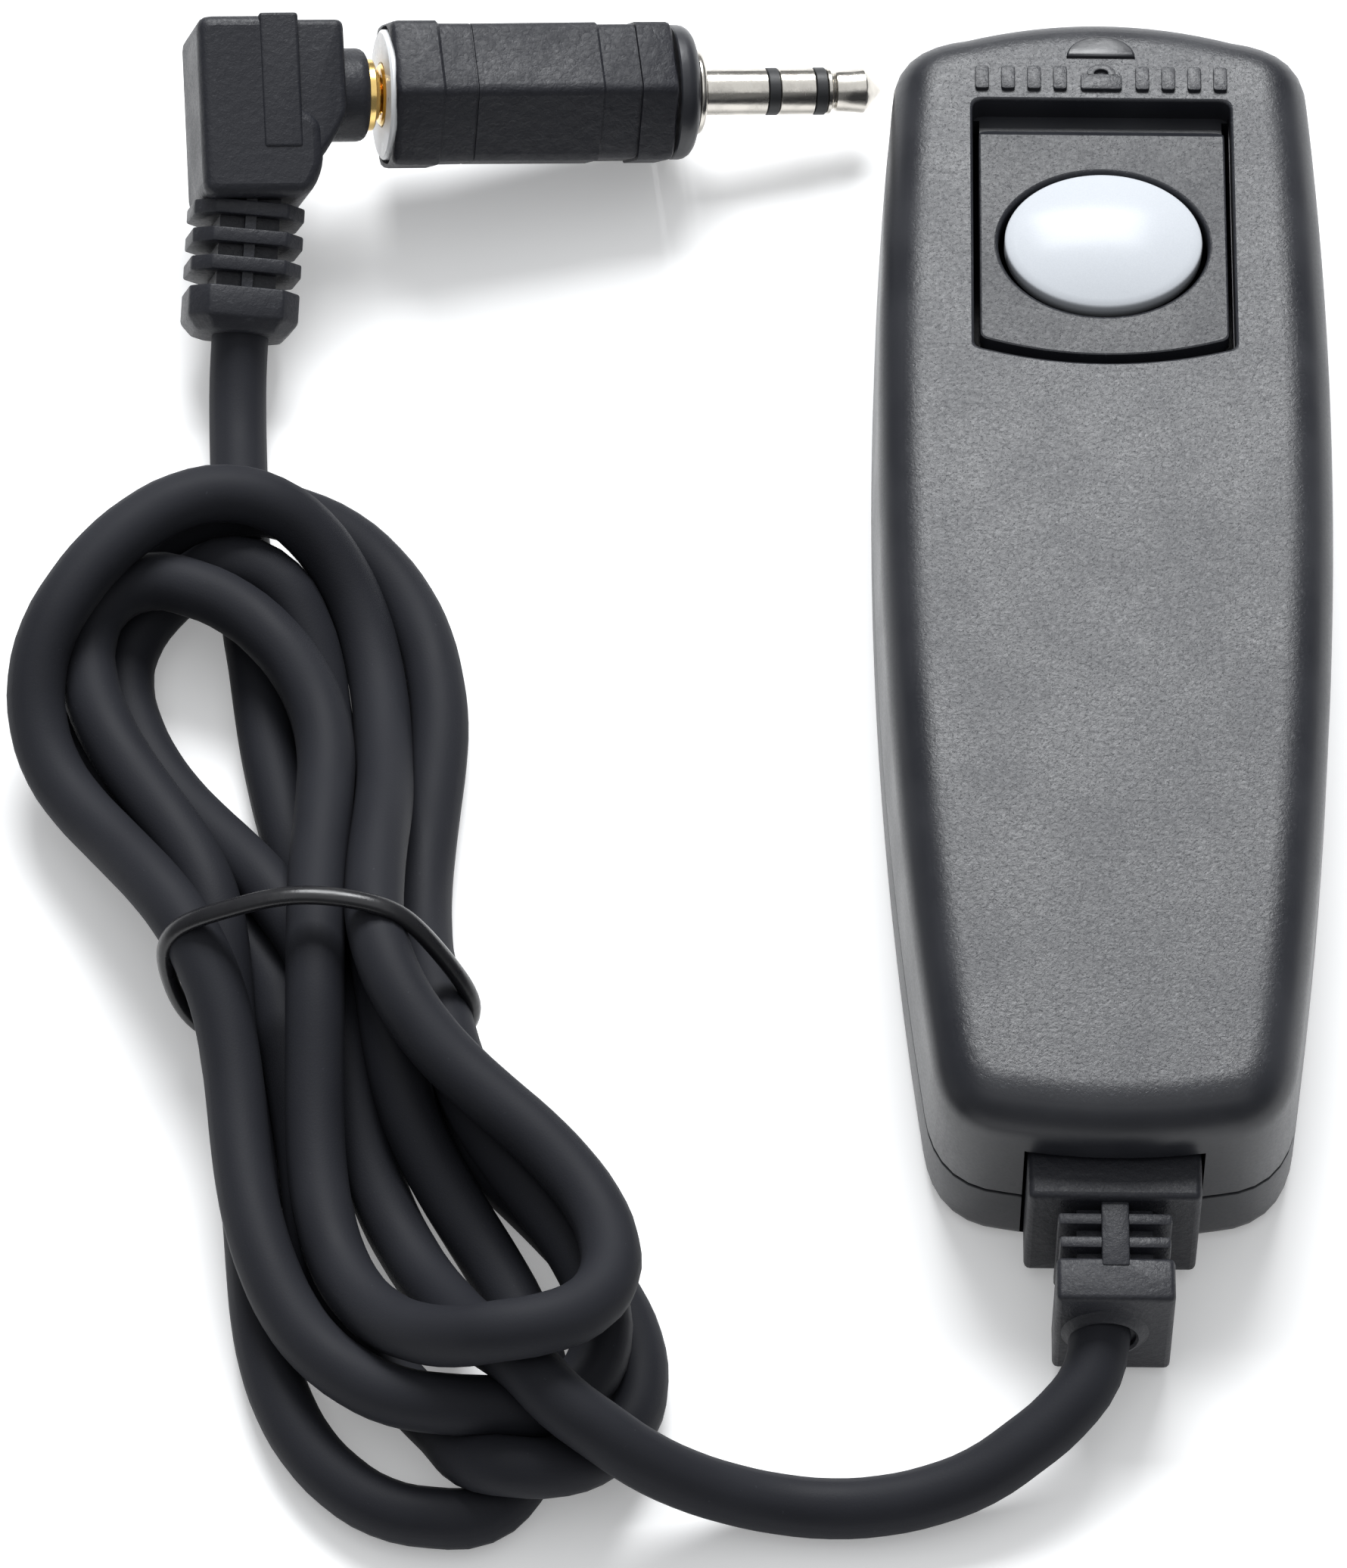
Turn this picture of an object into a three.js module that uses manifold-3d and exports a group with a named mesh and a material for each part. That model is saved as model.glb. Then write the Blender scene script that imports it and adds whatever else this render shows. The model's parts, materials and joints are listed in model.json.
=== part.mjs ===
// Wired shutter release: a two-shell hand switch with a sliding lock plate and a button, a cable in a tied hank,
// a right-angle 2.5 mm plug, and a hexagonal adaptor with a 3.5 mm pin pushed on to it.
// Millimetres, +Z up. The switch lies on its back on z = 0, its button end towards +Y, its cable end towards -Y.
import * as THREE from "three";
import { mergeVertices } from "three/addons/utils/BufferGeometryUtils.js";
import Module from "manifold-3d";

const wasm = await Module();
wasm.setup();

// ---------------------------------------------------------------- driving dimensions
const GAP = 0.3; // clearance between separate pieces

const LENGTH = 95; // switch body
const WIDTH = 33;
const THICKNESS = 16.6;
const WALL = 1.8;
const EDGE_RADIUS = 3.2; // top edge of the upper shell
const PARTING_Z = 6.2; // where the shells meet
const WIDEST_Y = 12; // the sides bow out most here
const SIDE_BOW = 0.0013; // loss of half width per square millimetre from the widest place
const HEAD_ARC = 33; // radius of the button end, seen from above
const TAIL_ARC = 42;

const BUTTON_Y = 26.4;
const BUTTON_A = 7.15; // half axes of the oval button, across and along
const BUTTON_B = 5.9;
const OPENING_A = 7.6; // half axes of the oval hole in the slide
const OPENING_B = 6.35;
const SLIDE_TRAVEL = 1.8;
const SLIDE_TOP = THICKNESS - 0.5;
const SLIDE_THICK = 1.4;
const RECESS_HALF = 9.4; // half width of the recess that the slide runs in
const RECESS_HEAD_Y = 38.9;
const RECESS_SIDE_Y = 17; // where the curved tail edge of the recess meets its sides
const RECESS_TAIL_Y = 15.7; // the same edge at its middle
const RECESS_FLOOR = SLIDE_TOP - SLIDE_THICK - GAP;
const SLAB = 1.6; // thickness of the recess floor
const WINDOW_HALF = 7.7; // window in the recess floor, under the button
const WINDOW_TAIL_Y = 18.7;
const WINDOW_HEAD_Y = 35.9;

const STEM_Z = 10.9; // lower end of the button's stem
const LEAF_THICK = 0.4;
const LEAF_WIDTH = 5;
const LEAF_PIVOT_Y = 5;
const LEAF_ROOT_Y = 3.3;
const LEAF_TIP_Y = 30;
const LEAF_COMMON_Z = 10.2; // undersides of the three leaves
const LEAF_FOCUS_Z = 9;
const LEAF_SHUTTER_Z = 7.5;

const RELIEF_HALF = 5.7; // block of the strain relief in the tail notch
const RELIEF_LOW = 1.2;
const RELIEF_HIGH = 11.6;
const RELIEF_INNER_Y = -41.7; // inner face of its flange
const RELIEF_FACE_Y = -50.1;
const RELIEF_END_Y = -57.6;

const CORD_RADIUS = 2.1;
const CORD_SIDES = 8;
const HANK_LOW = 1.5;
const HANK_HIGH = 12.5;
const TIE_THICK = 1.1;
const TIE_WIDTH = 1.4;
const WAIST_Y = -33;

// The plug and the adaptor share one axis. x runs along it from the middle of the plug's block to the pin's tip.
const PLUG_PLACE = new THREE.Vector3(-62.3, 41.9, 12);
const AXIS_YAW = THREE.MathUtils.degToRad(8);
const AXIS_DIP = THREE.MathUtils.degToRad(9);
const PLUG_ROLL = THREE.MathUtils.degToRad(25);
const HEX_ROLL = THREE.MathUtils.degToRad(4);
const BLOCK_HALF = 4.5; // plug block along the axis
const BLOCK_FAR = 5.2; // block beyond the axis, and towards its cable
const BLOCK_NEAR = -8.3;
const BLOCK_THICK = 9;
const COLLAR_END = 8.8;
const JACK_RADIUS = 1.25; // 2.5 mm pin
const JACK_LENGTH = 11;
const PLUG_RELIEF_END = -18.1;
const PLUG_RELIEF_SIDE = -0.8; // the relief sits a little to the side of the block's middle
const PLUG_RELIEF_LEAN = THREE.MathUtils.degToRad(6);
const ADAPTOR_START = 9.9;
const HEX_RADIUS = 6.1; // to its corners
const HEX_END = 31;
const NOSE_END = 33;
const FLANGE_END = 33.7;
const PIN_RADIUS = 1.75; // 3.5 mm pin
const PIN_TIP = 47.5;

// The cord where it isn't in the hank: from the switch to the hank, and from the hank to the plug.
const BODY_LEAD = [
  [-0.7, -58.1, 6.1],
  [-0.9, -59.5, 6],
  [-1.9, -61.5, 5.6],
  [-3.7, -63.6, 5],
  [-6.4, -65.7, 4.2],
  [-9.5, -67.5, 3.3],
  [-13.9, -68.8, 2.5],
  [-18.9, -69.3, 2.3],
  [-23.8, -68.7, 2.8],
  [-27.9, -67.5, 3.9],
  [-30.6, -66.5, 4.9],
];
const PLUG_LEAD = [
  [-62.9, 25, 4.45],
  [-62.95, 23.3, 3.7],
  [-62.95, 21.2, 2.9],
  [-62.85, 18.6, 2.35],
  [-62.7, 16, 2.2],
  [-62.5, 13.8, 2.2],
];
// Outer shape of the hank, seen from above.
const HANK_OUTLINE = [
  [-64, 12.6],
  [-56, 13.2],
  [-50, 7.5],
  [-46.2, -3],
  [-45.8, -15],
  [-45.8, -26],
  [-45.6, -33],
  [-43, -38],
  [-36.5, -44],
  [-32.4, -51],
  [-31.4, -58],
  [-33.2, -65],
  [-40, -70.2],
  [-47, -72.6],
  [-54, -70],
  [-59.4, -63],
  [-61.2, -54],
  [-62.2, -44],
  [-63.2, -33],
  [-66, -26.5],
  [-74, -19],
  [-78, -11],
  [-77.3, -3],
  [-72.6, 6.5],
];

// ---------------------------------------------------------------- materials
function finish(color, roughness, metalness = 0) {
  return new THREE.MeshStandardMaterial({ color, roughness, metalness });
}
const SHELL_PLASTIC = finish(0x3a3b3d, 0.55);
const SLIDE_PLASTIC = finish(0x323335, 0.5);
const SILVER_PLASTIC = finish(0xc9ced6, 0.25);
const INNER_PLASTIC = finish(0x26282a, 0.6);
const CORD_PLASTIC = finish(0x2c2d31, 0.6);
const OVERMOULD = finish(0x27282b, 0.7);
const TIE_PLASTIC = finish(0x17181a, 0.35);
const NICKEL = finish(0xcfcac2, 0.2, 1);
const GOLD = finish(0xd8a650, 0.25, 1);
const PALE_FACE = finish(0xdde0e2, 0.35);
const STEEL = finish(0x9a9ca0, 0.35, 1);
const WIRE_PLASTIC = finish(0x8a2f2a, 0.6);

// ---------------------------------------------------------------- solids
function solid(geometry) {
  const bare = new THREE.BufferGeometry();
  const flat = geometry.index ? geometry.toNonIndexed() : geometry;
  bare.setAttribute("position", flat.getAttribute("position"));
  const merged = mergeVertices(bare, 1e-4);
  const vertProperties = merged.attributes.position.array;
  const triVerts = new Uint32Array(merged.index.array);
  return new wasm.Manifold(new wasm.Mesh({ numProp: 3, vertProperties, triVerts }));
}

function geometryOf(body) {
  const mesh = body.getMesh();
  const geometry = new THREE.BufferGeometry();
  const corners = new Float32Array(mesh.numVert * 3);
  for (let i = 0; i < mesh.numVert; i++) {
    corners.set(mesh.vertProperties.subarray(i * mesh.numProp, i * mesh.numProp + 3), i * 3);
  }
  geometry.setAttribute("position", new THREE.BufferAttribute(corners, 3));
  geometry.setIndex(new THREE.BufferAttribute(mesh.triVerts, 1));
  const faceted = geometry.toNonIndexed();
  faceted.computeVertexNormals();
  return faceted;
}

// A closed skin over rings of equally many points, from the first ring to the last, with a flat fan over each end.
function loft(rings) {
  const count = rings[0].length;
  const corners = [];
  const triangle = (a, b, c) => corners.push(...a.toArray(), ...b.toArray(), ...c.toArray());
  const middle = (ring) => ring.reduce((sum, p) => sum.add(p), new THREE.Vector3()).divideScalar(count);
  for (let r = 0; r + 1 < rings.length; r++) {
    for (let i = 0; i < count; i++) {
      const j = (i + 1) % count;
      triangle(rings[r][i], rings[r][j], rings[r + 1][j]);
      triangle(rings[r][i], rings[r + 1][j], rings[r + 1][i]);
    }
  }
  const first = rings[0];
  const last = rings[rings.length - 1];
  const firstMiddle = middle(first);
  const lastMiddle = middle(last);
  for (let i = 0; i < count; i++) {
    const j = (i + 1) % count;
    triangle(firstMiddle, first[j], first[i]);
    triangle(lastMiddle, last[i], last[j]);
  }
  const geometry = new THREE.BufferGeometry();
  geometry.setAttribute("position", new THREE.BufferAttribute(new Float32Array(corners), 3));
  geometry.computeVertexNormals();
  return geometry;
}

function slab(shape, low, high, curveSegments = 12) {
  const geometry = new THREE.ExtrudeGeometry(shape, { depth: high - low, bevelEnabled: false, curveSegments });
  return geometry.translate(0, 0, low);
}

function box(lowX, lowY, lowZ, highX, highY, highZ) {
  const geometry = new THREE.BoxGeometry(highX - lowX, highY - lowY, highZ - lowZ);
  return geometry.translate((lowX + highX) / 2, (lowY + highY) / 2, (lowZ + highZ) / 2);
}

function ellipse(a, b, x = 0, y = 0) {
  const shape = new THREE.Shape();
  shape.absellipse(x, y, a, b, 0, 2 * Math.PI);
  return shape;
}

// Round about Z: a profile of [radius, z] points from the lower end to the upper end.
function turnedUp(profile, sides = 20) {
  const points = profile.map(([radius, z]) => new THREE.Vector2(radius, z));
  return new THREE.LatheGeometry(points, sides).rotateX(Math.PI / 2);
}

// Round about X: a profile of [radius, x] points from the plug's side to the pin's tip.
function turnedAlong(profile, sides = 20) {
  const points = profile.map(([radius, x]) => new THREE.Vector2(radius, x));
  return new THREE.LatheGeometry(points, sides).rotateZ(-Math.PI / 2);
}

function tube(points, radius, sides, steps) {
  const path = new THREE.CatmullRomCurve3(points.map((p) => new THREE.Vector3(...p)));
  const section = new THREE.Shape();
  for (let i = 0; i < sides; i++) {
    const angle = ((i + 0.5) * 2 * Math.PI) / sides;
    const [x, y] = [radius * Math.cos(angle), radius * Math.sin(angle)];
    if (i === 0) section.moveTo(x, y);
    else section.lineTo(x, y);
  }
  section.closePath();
  return new THREE.ExtrudeGeometry(section, { steps, extrudePath: path, bevelEnabled: false });
}

const part = new THREE.Group();

function add(name, shape, material, group = part) {
  const geometry = shape.getMesh ? geometryOf(shape) : shape;
  const mesh = new THREE.Mesh(geometry, material);
  mesh.name = name;
  group.add(mesh);
}

// ---------------------------------------------------------------- the switch's shells
function halfWidth(y) {
  return WIDTH / 2 - SIDE_BOW * (y - WIDEST_Y) ** 2;
}

// The body seen from above, counterclockwise from the middle of its tail.
function bodyOutline() {
  const headY = (x) => LENGTH / 2 - x ** 2 / (2 * HEAD_ARC);
  const tailY = (x) => -LENGTH / 2 + x ** 2 / (2 * TAIL_ARC);
  const sideLow = -40.5;
  const sideHigh = 41.5;
  const tailX = 7.6;
  const headX = 10.4;
  const right = [];
  const bend = (from, corner, to, steps) => {
    const curve = new THREE.QuadraticBezierCurve(from, corner, to);
    right.push(...curve.getPoints(steps).slice(1));
  };
  for (const x of [0, tailX / 2, tailX]) right.push(new THREE.Vector2(x, tailY(x)));
  bend(
    new THREE.Vector2(tailX, tailY(tailX)),
    new THREE.Vector2(halfWidth(sideLow - 4), tailY(tailX) + 0.5),
    new THREE.Vector2(halfWidth(sideLow), sideLow),
    4,
  );
  for (let y = sideLow + 14; y < sideHigh; y += 14) right.push(new THREE.Vector2(halfWidth(y), y));
  bend(
    new THREE.Vector2(halfWidth(sideHigh), sideHigh),
    new THREE.Vector2(halfWidth(sideHigh + 4), headY(headX) - 0.8),
    new THREE.Vector2(headX, headY(headX)),
    5,
  );
  for (const x of [headX / 2, 0]) right.push(new THREE.Vector2(x, headY(x)));
  const left = right.slice(1, -1).map((p) => new THREE.Vector2(-p.x, p.y));
  return right.concat(left.reverse());
}

const OUTLINE = bodyOutline();

// The outline moved inwards, as a ring at one height.
function ring(inset, z) {
  const count = OUTLINE.length;
  return OUTLINE.map((p, i) => {
    const along = OUTLINE[(i + 1) % count].clone().sub(OUTLINE[(i + count - 1) % count]).normalize();
    return new THREE.Vector3(p.x - along.y * inset, p.y + along.x * inset, z);
  });
}

// Recess outline, grown by a margin: straight sides, with the tail edge an arc.
function recessShape(half, headY, sideY, tailY) {
  const shape = new THREE.Shape();
  shape.moveTo(half, sideY);
  shape.lineTo(half, headY);
  shape.lineTo(-half, headY);
  shape.lineTo(-half, sideY);
  shape.quadraticCurveTo(0, 2 * tailY - sideY, half, sideY);
  return shape;
}

function screwPlaces() {
  return [
    [0, 43],
    [8, -37],
    [-8, -37],
  ];
}

function upperShell() {
  const low = PARTING_Z + GAP / 2;
  const draft = 0.25;
  const edgeZ = THICKNESS - EDGE_RADIUS;
  const rings = [ring(0, low), ring(draft, edgeZ)];
  for (let step = 1; step <= 4; step++) {
    const angle = (step * Math.PI) / 8;
    rings.push(ring(draft + EDGE_RADIUS * (1 - Math.cos(angle)), edgeZ + EDGE_RADIUS * Math.sin(angle)));
  }
  const ceiling = THICKNESS - WALL;
  const joined = ceiling + 0.2; // what hangs from the ceiling reaches into it
  const hollow = [ring(WALL, low - 1), ring(WALL + draft, edgeZ - 1), ring(WALL + 2, ceiling)];
  const slabBottom = RECESS_FLOOR - SLAB;
  const slabHalf = RECESS_HALF + 2;
  let shell = solid(loft(rings)).subtract(solid(loft(hollow)));
  shell = shell.add(solid(box(-slabHalf, RECESS_TAIL_Y - 1.7, slabBottom, slabHalf, RECESS_HEAD_Y + 2.1, joined)));
  for (const [x, y] of screwPlaces()) {
    const boss = turnedUp([[0, low], [2.6, low], [2.6, joined], [0, joined]], 16);
    const bore = turnedUp([[0, low - 1], [1.2, low - 1], [1.2, 13], [0, 13]], 12);
    shell = shell.add(solid(boss.translate(x, y, 0))).subtract(solid(bore.translate(x, y, 0)));
  }
  shell = shell.subtract(
    solid(slab(recessShape(RECESS_HALF, RECESS_HEAD_Y, RECESS_SIDE_Y, RECESS_TAIL_Y), RECESS_FLOOR, THICKNESS + 1)),
  );
  shell = shell.subtract(
    solid(box(-WINDOW_HALF, WINDOW_TAIL_Y, slabBottom - 1, WINDOW_HALF, WINDOW_HEAD_Y, THICKNESS)),
  );
  return shell.subtract(solid(tailNotch()));
}

// The notch that both shells leave for the strain relief.
function tailNotch() {
  const half = RELIEF_HALF + 0.5;
  return box(-half, -LENGTH / 2 - 2, RELIEF_LOW - 0.5, half, -LENGTH / 2 + 5, RELIEF_HIGH + 0.5);
}

function lowerShell() {
  const high = PARTING_Z - GAP / 2;
  const outside = [ring(1.6, 0), ring(0.5, 0.5), ring(0, 1.6), ring(0, high)];
  const hollow = [ring(WALL + 0.6, WALL), ring(WALL, WALL + 0.6), ring(WALL, high + 1)];
  let shell = solid(loft(outside)).subtract(solid(loft(hollow)));
  for (const [x, y] of screwPlaces()) {
    const boss = turnedUp([[0, 1], [3.2, 1], [3.2, high], [0, high]], 16);
    const bore = turnedUp([[0, -1], [2.5, -1], [2.5, 2], [1.2, 2], [1.2, high + 1], [0, high + 1]], 16);
    shell = shell.add(solid(boss.translate(x, y, 0))).subtract(solid(bore.translate(x, y, 0)));
  }
  return shell.subtract(solid(tailNotch()));
}

function shellScrew() {
  return turnedUp([[0, 0.4], [2.1, 0.4], [2.1, 1.7], [0.9, 1.7], [0.9, 11.4], [0, 12.2]], 12);
}

// ---------------------------------------------------------------- slide, button and contacts
function lockSlide() {
  const play = 0.45;
  const outline = recessShape(RECESS_HALF - play, RECESS_HEAD_Y - SLIDE_TRAVEL - GAP, RECESS_SIDE_Y + 1,
    RECESS_TAIL_Y + 1);
  outline.holes.push(ellipse(OPENING_A, OPENING_B, 0, BUTTON_Y));
  const bottom = SLIDE_TOP - SLIDE_THICK;
  const hookTop = RECESS_FLOOR - SLAB - GAP;
  let body = solid(slab(outline, bottom, SLIDE_TOP));
  for (const side of [-1, 1]) {
    for (const along of [-5.4, 5.4]) {
      const leg = box(-0.45, -0.8, hookTop - 0.9, 0.45, 0.8, bottom + 0.2).translate(side * 6.95, BUTTON_Y + along, 0);
      const hook = box(-1, -0.8, hookTop - 0.9, 1, 0.8, hookTop).translate(side * 7.5, BUTTON_Y + along, 0);
      body = body.add(solid(leg)).add(solid(hook));
    }
  }
  return body;
}

function buttonCap() {
  const low = SLIDE_TOP - SLIDE_THICK + GAP;
  const rim = SLIDE_TOP + 0.4;
  const profile = [[0, low], [BUTTON_A, low], [BUTTON_A, rim]];
  const dome = 0.9;
  const edgeRise = 0.25;
  for (const share of [0.94, 0.8, 0.55, 0.28, 0]) {
    profile.push([BUTTON_A * share, rim + edgeRise + dome * (1 - share ** 2)]);
  }
  return turnedUp(profile, 36).scale(1, BUTTON_B / BUTTON_A, 1).translate(0, BUTTON_Y, 0);
}

function buttonPlunger() {
  const top = SLIDE_TOP - SLIDE_THICK;
  const disc = slab(ellipse(6.4, 5.2, 0, BUTTON_Y), top - 1.3, top, 8);
  const tabs = box(-3, BUTTON_Y - 7.2, top - 1.2, 3, BUTTON_Y + 7.2, top - GAP);
  const stem = turnedUp([[0, STEM_Z], [2, STEM_Z], [2, top - 1], [0, top - 1]], 12).translate(0, BUTTON_Y, 0);
  return solid(disc).add(solid(tabs)).add(solid(stem));
}

function leaf(underside) {
  return box(-LEAF_WIDTH / 2, LEAF_ROOT_Y, underside, LEAF_WIDTH / 2, LEAF_TIP_Y, underside + LEAF_THICK);
}

function contactBase() {
  const top = 12;
  const block = box(-4.5, -4, WALL + GAP, 4.5, LEAF_PIVOT_Y, top);
  const pocket = box(-2.9, LEAF_ROOT_Y - 0.4, LEAF_SHUTTER_Z - GAP, 2.9, LEAF_PIVOT_Y + 1, 11);
  const bore = turnedUp([[0, 0], [1.3, 0], [1.3, top + 1], [0, top + 1]], 12);
  return solid(block).subtract(solid(pocket)).subtract(solid(bore.translate(0, -0.6, 0)));
}

function contactScrew() {
  return turnedUp([[0, 2.4], [1, 2.4], [1, 12.3], [1.9, 12.3], [1.9, 13.3], [0, 13.3]], 12).translate(0, -0.6, 0);
}

function wire(offset, height) {
  const route = [
    [offset * 0.6, RELIEF_INNER_Y + 0.5, 5.5],
    [offset, -36, 4.4],
    [offset * 1.4, -24, 3.6],
    [offset, -12, 5],
    [offset, -4.3, height],
  ];
  return tube(route, 0.55, 6, 12);
}

// ---------------------------------------------------------------- strain relief in the tail
function bodyStrainRelief() {
  const flange = box(-7, RELIEF_INNER_Y - 1.4, 2.2, 7, RELIEF_INNER_Y, 12.2);
  const block = box(-RELIEF_HALF, RELIEF_FACE_Y, RELIEF_LOW, RELIEF_HALF, RELIEF_INNER_Y - 1, RELIEF_HIGH);
  const core = box(-2.6, -55, 2.9, 2.6, -49, 9.8);
  const spine = box(-0.9, -55, 1.7, 0.9, -49, 10.9);
  const end = box(-3.7, RELIEF_END_Y, 0.9, 3.7, -54.3, 10.9);
  let body = solid(flange).add(solid(block)).add(solid(core)).add(solid(spine)).add(solid(end));
  for (const [ribY, half] of [[-51.6, 3.9], [-53.4, 3.8]]) {
    body = body.add(solid(box(-half, ribY, 1.8, half, ribY + 0.8, 10.7)));
  }
  return body;
}

// ---------------------------------------------------------------- cord
function hank() {
  const points = HANK_OUTLINE.map(([x, y]) => new THREE.Vector3(x, y, 0));
  const curve = new THREE.CatmullRomCurve3(points, true);
  const outline = curve.getPoints(72).slice(0, -1).map((p) => new THREE.Vector2(p.x, p.y));
  return slab(new THREE.Shape(outline), HANK_LOW, HANK_HIGH);
}

// A band round the waist of the hank, standing on edge.
function cableTie() {
  const half = 9.2;
  const middleX = -54.4;
  const low = TIE_THICK;
  const high = HANK_HIGH + GAP;
  const outline = new THREE.Shape();
  const corner = 0.5;
  const place = (path, grow) => {
    const x = half + grow;
    const bottom = low - grow;
    const top = high + grow;
    path.moveTo(x, bottom + corner);
    path.lineTo(x, top - corner);
    path.quadraticCurveTo(x, top, x - corner, top);
    path.lineTo(corner - x, top);
    path.quadraticCurveTo(-x, top, -x, top - corner);
    path.lineTo(-x, bottom + corner);
    path.quadraticCurveTo(-x, bottom, corner - x, bottom);
    path.lineTo(x - corner, bottom);
    path.quadraticCurveTo(x, bottom, x, bottom + corner);
  };
  place(outline, TIE_THICK);
  const inside = new THREE.Path();
  place(inside, 0);
  outline.holes.push(inside);
  const band = slab(outline, -TIE_WIDTH / 2, TIE_WIDTH / 2, 3);
  return band.rotateX(Math.PI / 2).translate(middleX, WAIST_Y, 0);
}

// ---------------------------------------------------------------- plug
function plugOvermould() {
  const halfThick = BLOCK_THICK / 2;
  const outline = new THREE.Shape();
  outline.moveTo(-BLOCK_HALF, BLOCK_FAR);
  outline.lineTo(-BLOCK_HALF, BLOCK_NEAR);
  outline.lineTo(BLOCK_HALF - 1, BLOCK_NEAR);
  outline.lineTo(BLOCK_HALF, BLOCK_NEAR + 2);
  outline.lineTo(BLOCK_HALF, BLOCK_FAR);
  outline.closePath();
  const shoulder = new THREE.Shape();
  shoulder.moveTo(BLOCK_HALF - 0.5, BLOCK_FAR - 0.4);
  shoulder.lineTo(BLOCK_HALF - 0.5, -5.6);
  shoulder.lineTo(5.4, -4);
  shoulder.lineTo(5.6, -3.2);
  shoulder.lineTo(6.4, -2.4);
  shoulder.lineTo(6.4, BLOCK_FAR - 0.4);
  shoulder.closePath();
  let body = solid(slab(outline, -halfThick, halfThick));
  body = body.add(solid(slab(shoulder, -halfThick + 0.4, halfThick - 0.4)));
  body = body.add(solid(turnedAlong([[0, 6], [3.45, 6], [3.45, COLLAR_END], [0, COLLAR_END]], 16)));
  return body.add(plugRelief());
}

// The ribbed relief, which the cable pulls a little to one side.
function plugRelief() {
  const ribs = 3;
  const pitch = 2.1;
  const ribThick = 1.1;
  const endThick = 3;
  const lift = (geometry) => geometry.translate(0, -BLOCK_NEAR, 0).rotateZ(-PLUG_RELIEF_LEAN)
    .translate(PLUG_RELIEF_SIDE, BLOCK_NEAR, 0);
  let relief = solid(lift(box(-2.2, PLUG_RELIEF_END + 1, -2.4, 2.2, BLOCK_NEAR + 1, 2.4)));
  for (let i = 0; i < ribs; i++) {
    relief = relief.add(solid(lift(ribPlate(4.1, 3.4, BLOCK_NEAR - 0.2 - ribThick - i * pitch, ribThick))));
  }
  return relief.add(solid(lift(ribPlate(4.1, 3.4, PLUG_RELIEF_END, endThick))));
}

// A plate with chamfered corners, square to the cable, from ribY towards the plug.
function ribPlate(halfX, halfZ, ribY, thick) {
  const cut = 1.4;
  const shape = new THREE.Shape();
  shape.moveTo(halfX, halfZ - cut);
  shape.lineTo(halfX - cut, halfZ);
  shape.lineTo(cut - halfX, halfZ);
  shape.lineTo(-halfX, halfZ - cut);
  shape.lineTo(-halfX, cut - halfZ);
  shape.lineTo(cut - halfX, -halfZ);
  shape.lineTo(halfX - cut, -halfZ);
  shape.lineTo(halfX, cut - halfZ);
  shape.closePath();
  return slab(shape, 0, thick).rotateX(Math.PI / 2).translate(0, ribY + thick, 0);
}

// A three-contact pin: sleeve, ring and tip with an insulating ring between each. Its measures are those of a pin
// 14 mm long, scaled to the length asked for.
function addPin(prefix, start, length, radius, material, group) {
  const scale = length / 14;
  const gap = 0.12;
  const waist = radius * 0.62;
  const place = (measure) => start + measure * scale;
  const ringPiece = (low, high) => [
    [0, place(low) + gap],
    [radius, place(low) + gap],
    [radius, place(high)],
    [0, place(high)],
  ];
  const sleeve = [[0, start], [radius, start], [radius, place(4.9)], [0, place(4.9)]];
  const tip = [
    [0, place(9.5) + gap],
    [radius * 0.97, place(9.5) + gap],
    [radius * 0.97, place(10.2)],
    [waist, place(10.9)],
    [radius * 0.92, place(12.3)],
    [radius * 0.92, place(12.8)],
    [0, place(14)],
  ];
  add(prefix + "_sleeve", turnedAlong(sleeve), material, group);
  add(prefix + "_insulator_1", turnedAlong(ringPiece(4.9, 5.8)), INNER_PLASTIC, group);
  add(prefix + "_ring", turnedAlong(ringPiece(5.8, 8.6)), material, group);
  add(prefix + "_insulator_2", turnedAlong(ringPiece(8.6, 9.5)), INNER_PLASTIC, group);
  add(prefix + "_tip", turnedAlong(tip), material, group);
}

// ---------------------------------------------------------------- adaptor
function adaptorBody() {
  const grooveDepth = 0.35;
  const grooves = [[15.8, 16.4], [25.4, 26], [27.9, 28.5]];
  const stations = [[ADAPTOR_START, HEX_RADIUS - 0.5], [ADAPTOR_START + 0.5, HEX_RADIUS]];
  for (const [from, to] of grooves) {
    stations.push([from, HEX_RADIUS], [from, HEX_RADIUS - grooveDepth]);
    stations.push([to, HEX_RADIUS - grooveDepth], [to, HEX_RADIUS]);
  }
  stations.push([HEX_END - 0.5, HEX_RADIUS], [HEX_END, HEX_RADIUS - 0.6]);
  const rings = stations.map(([x, radius]) => {
    const corners = [];
    for (let i = 0; i < 6; i++) {
      const angle = (i * Math.PI) / 3;
      corners.push(new THREE.Vector3(x, radius * Math.cos(angle), radius * Math.sin(angle)));
    }
    return corners;
  });
  const start = ADAPTOR_START;
  const seat = [[0, start - 1], [5.1, start - 1], [5.1, start + 1], [2.7, start + 1], [2.7, 27], [0, 27]];
  return solid(loft(rings)).subtract(solid(turnedAlong(seat)));
}

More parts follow.
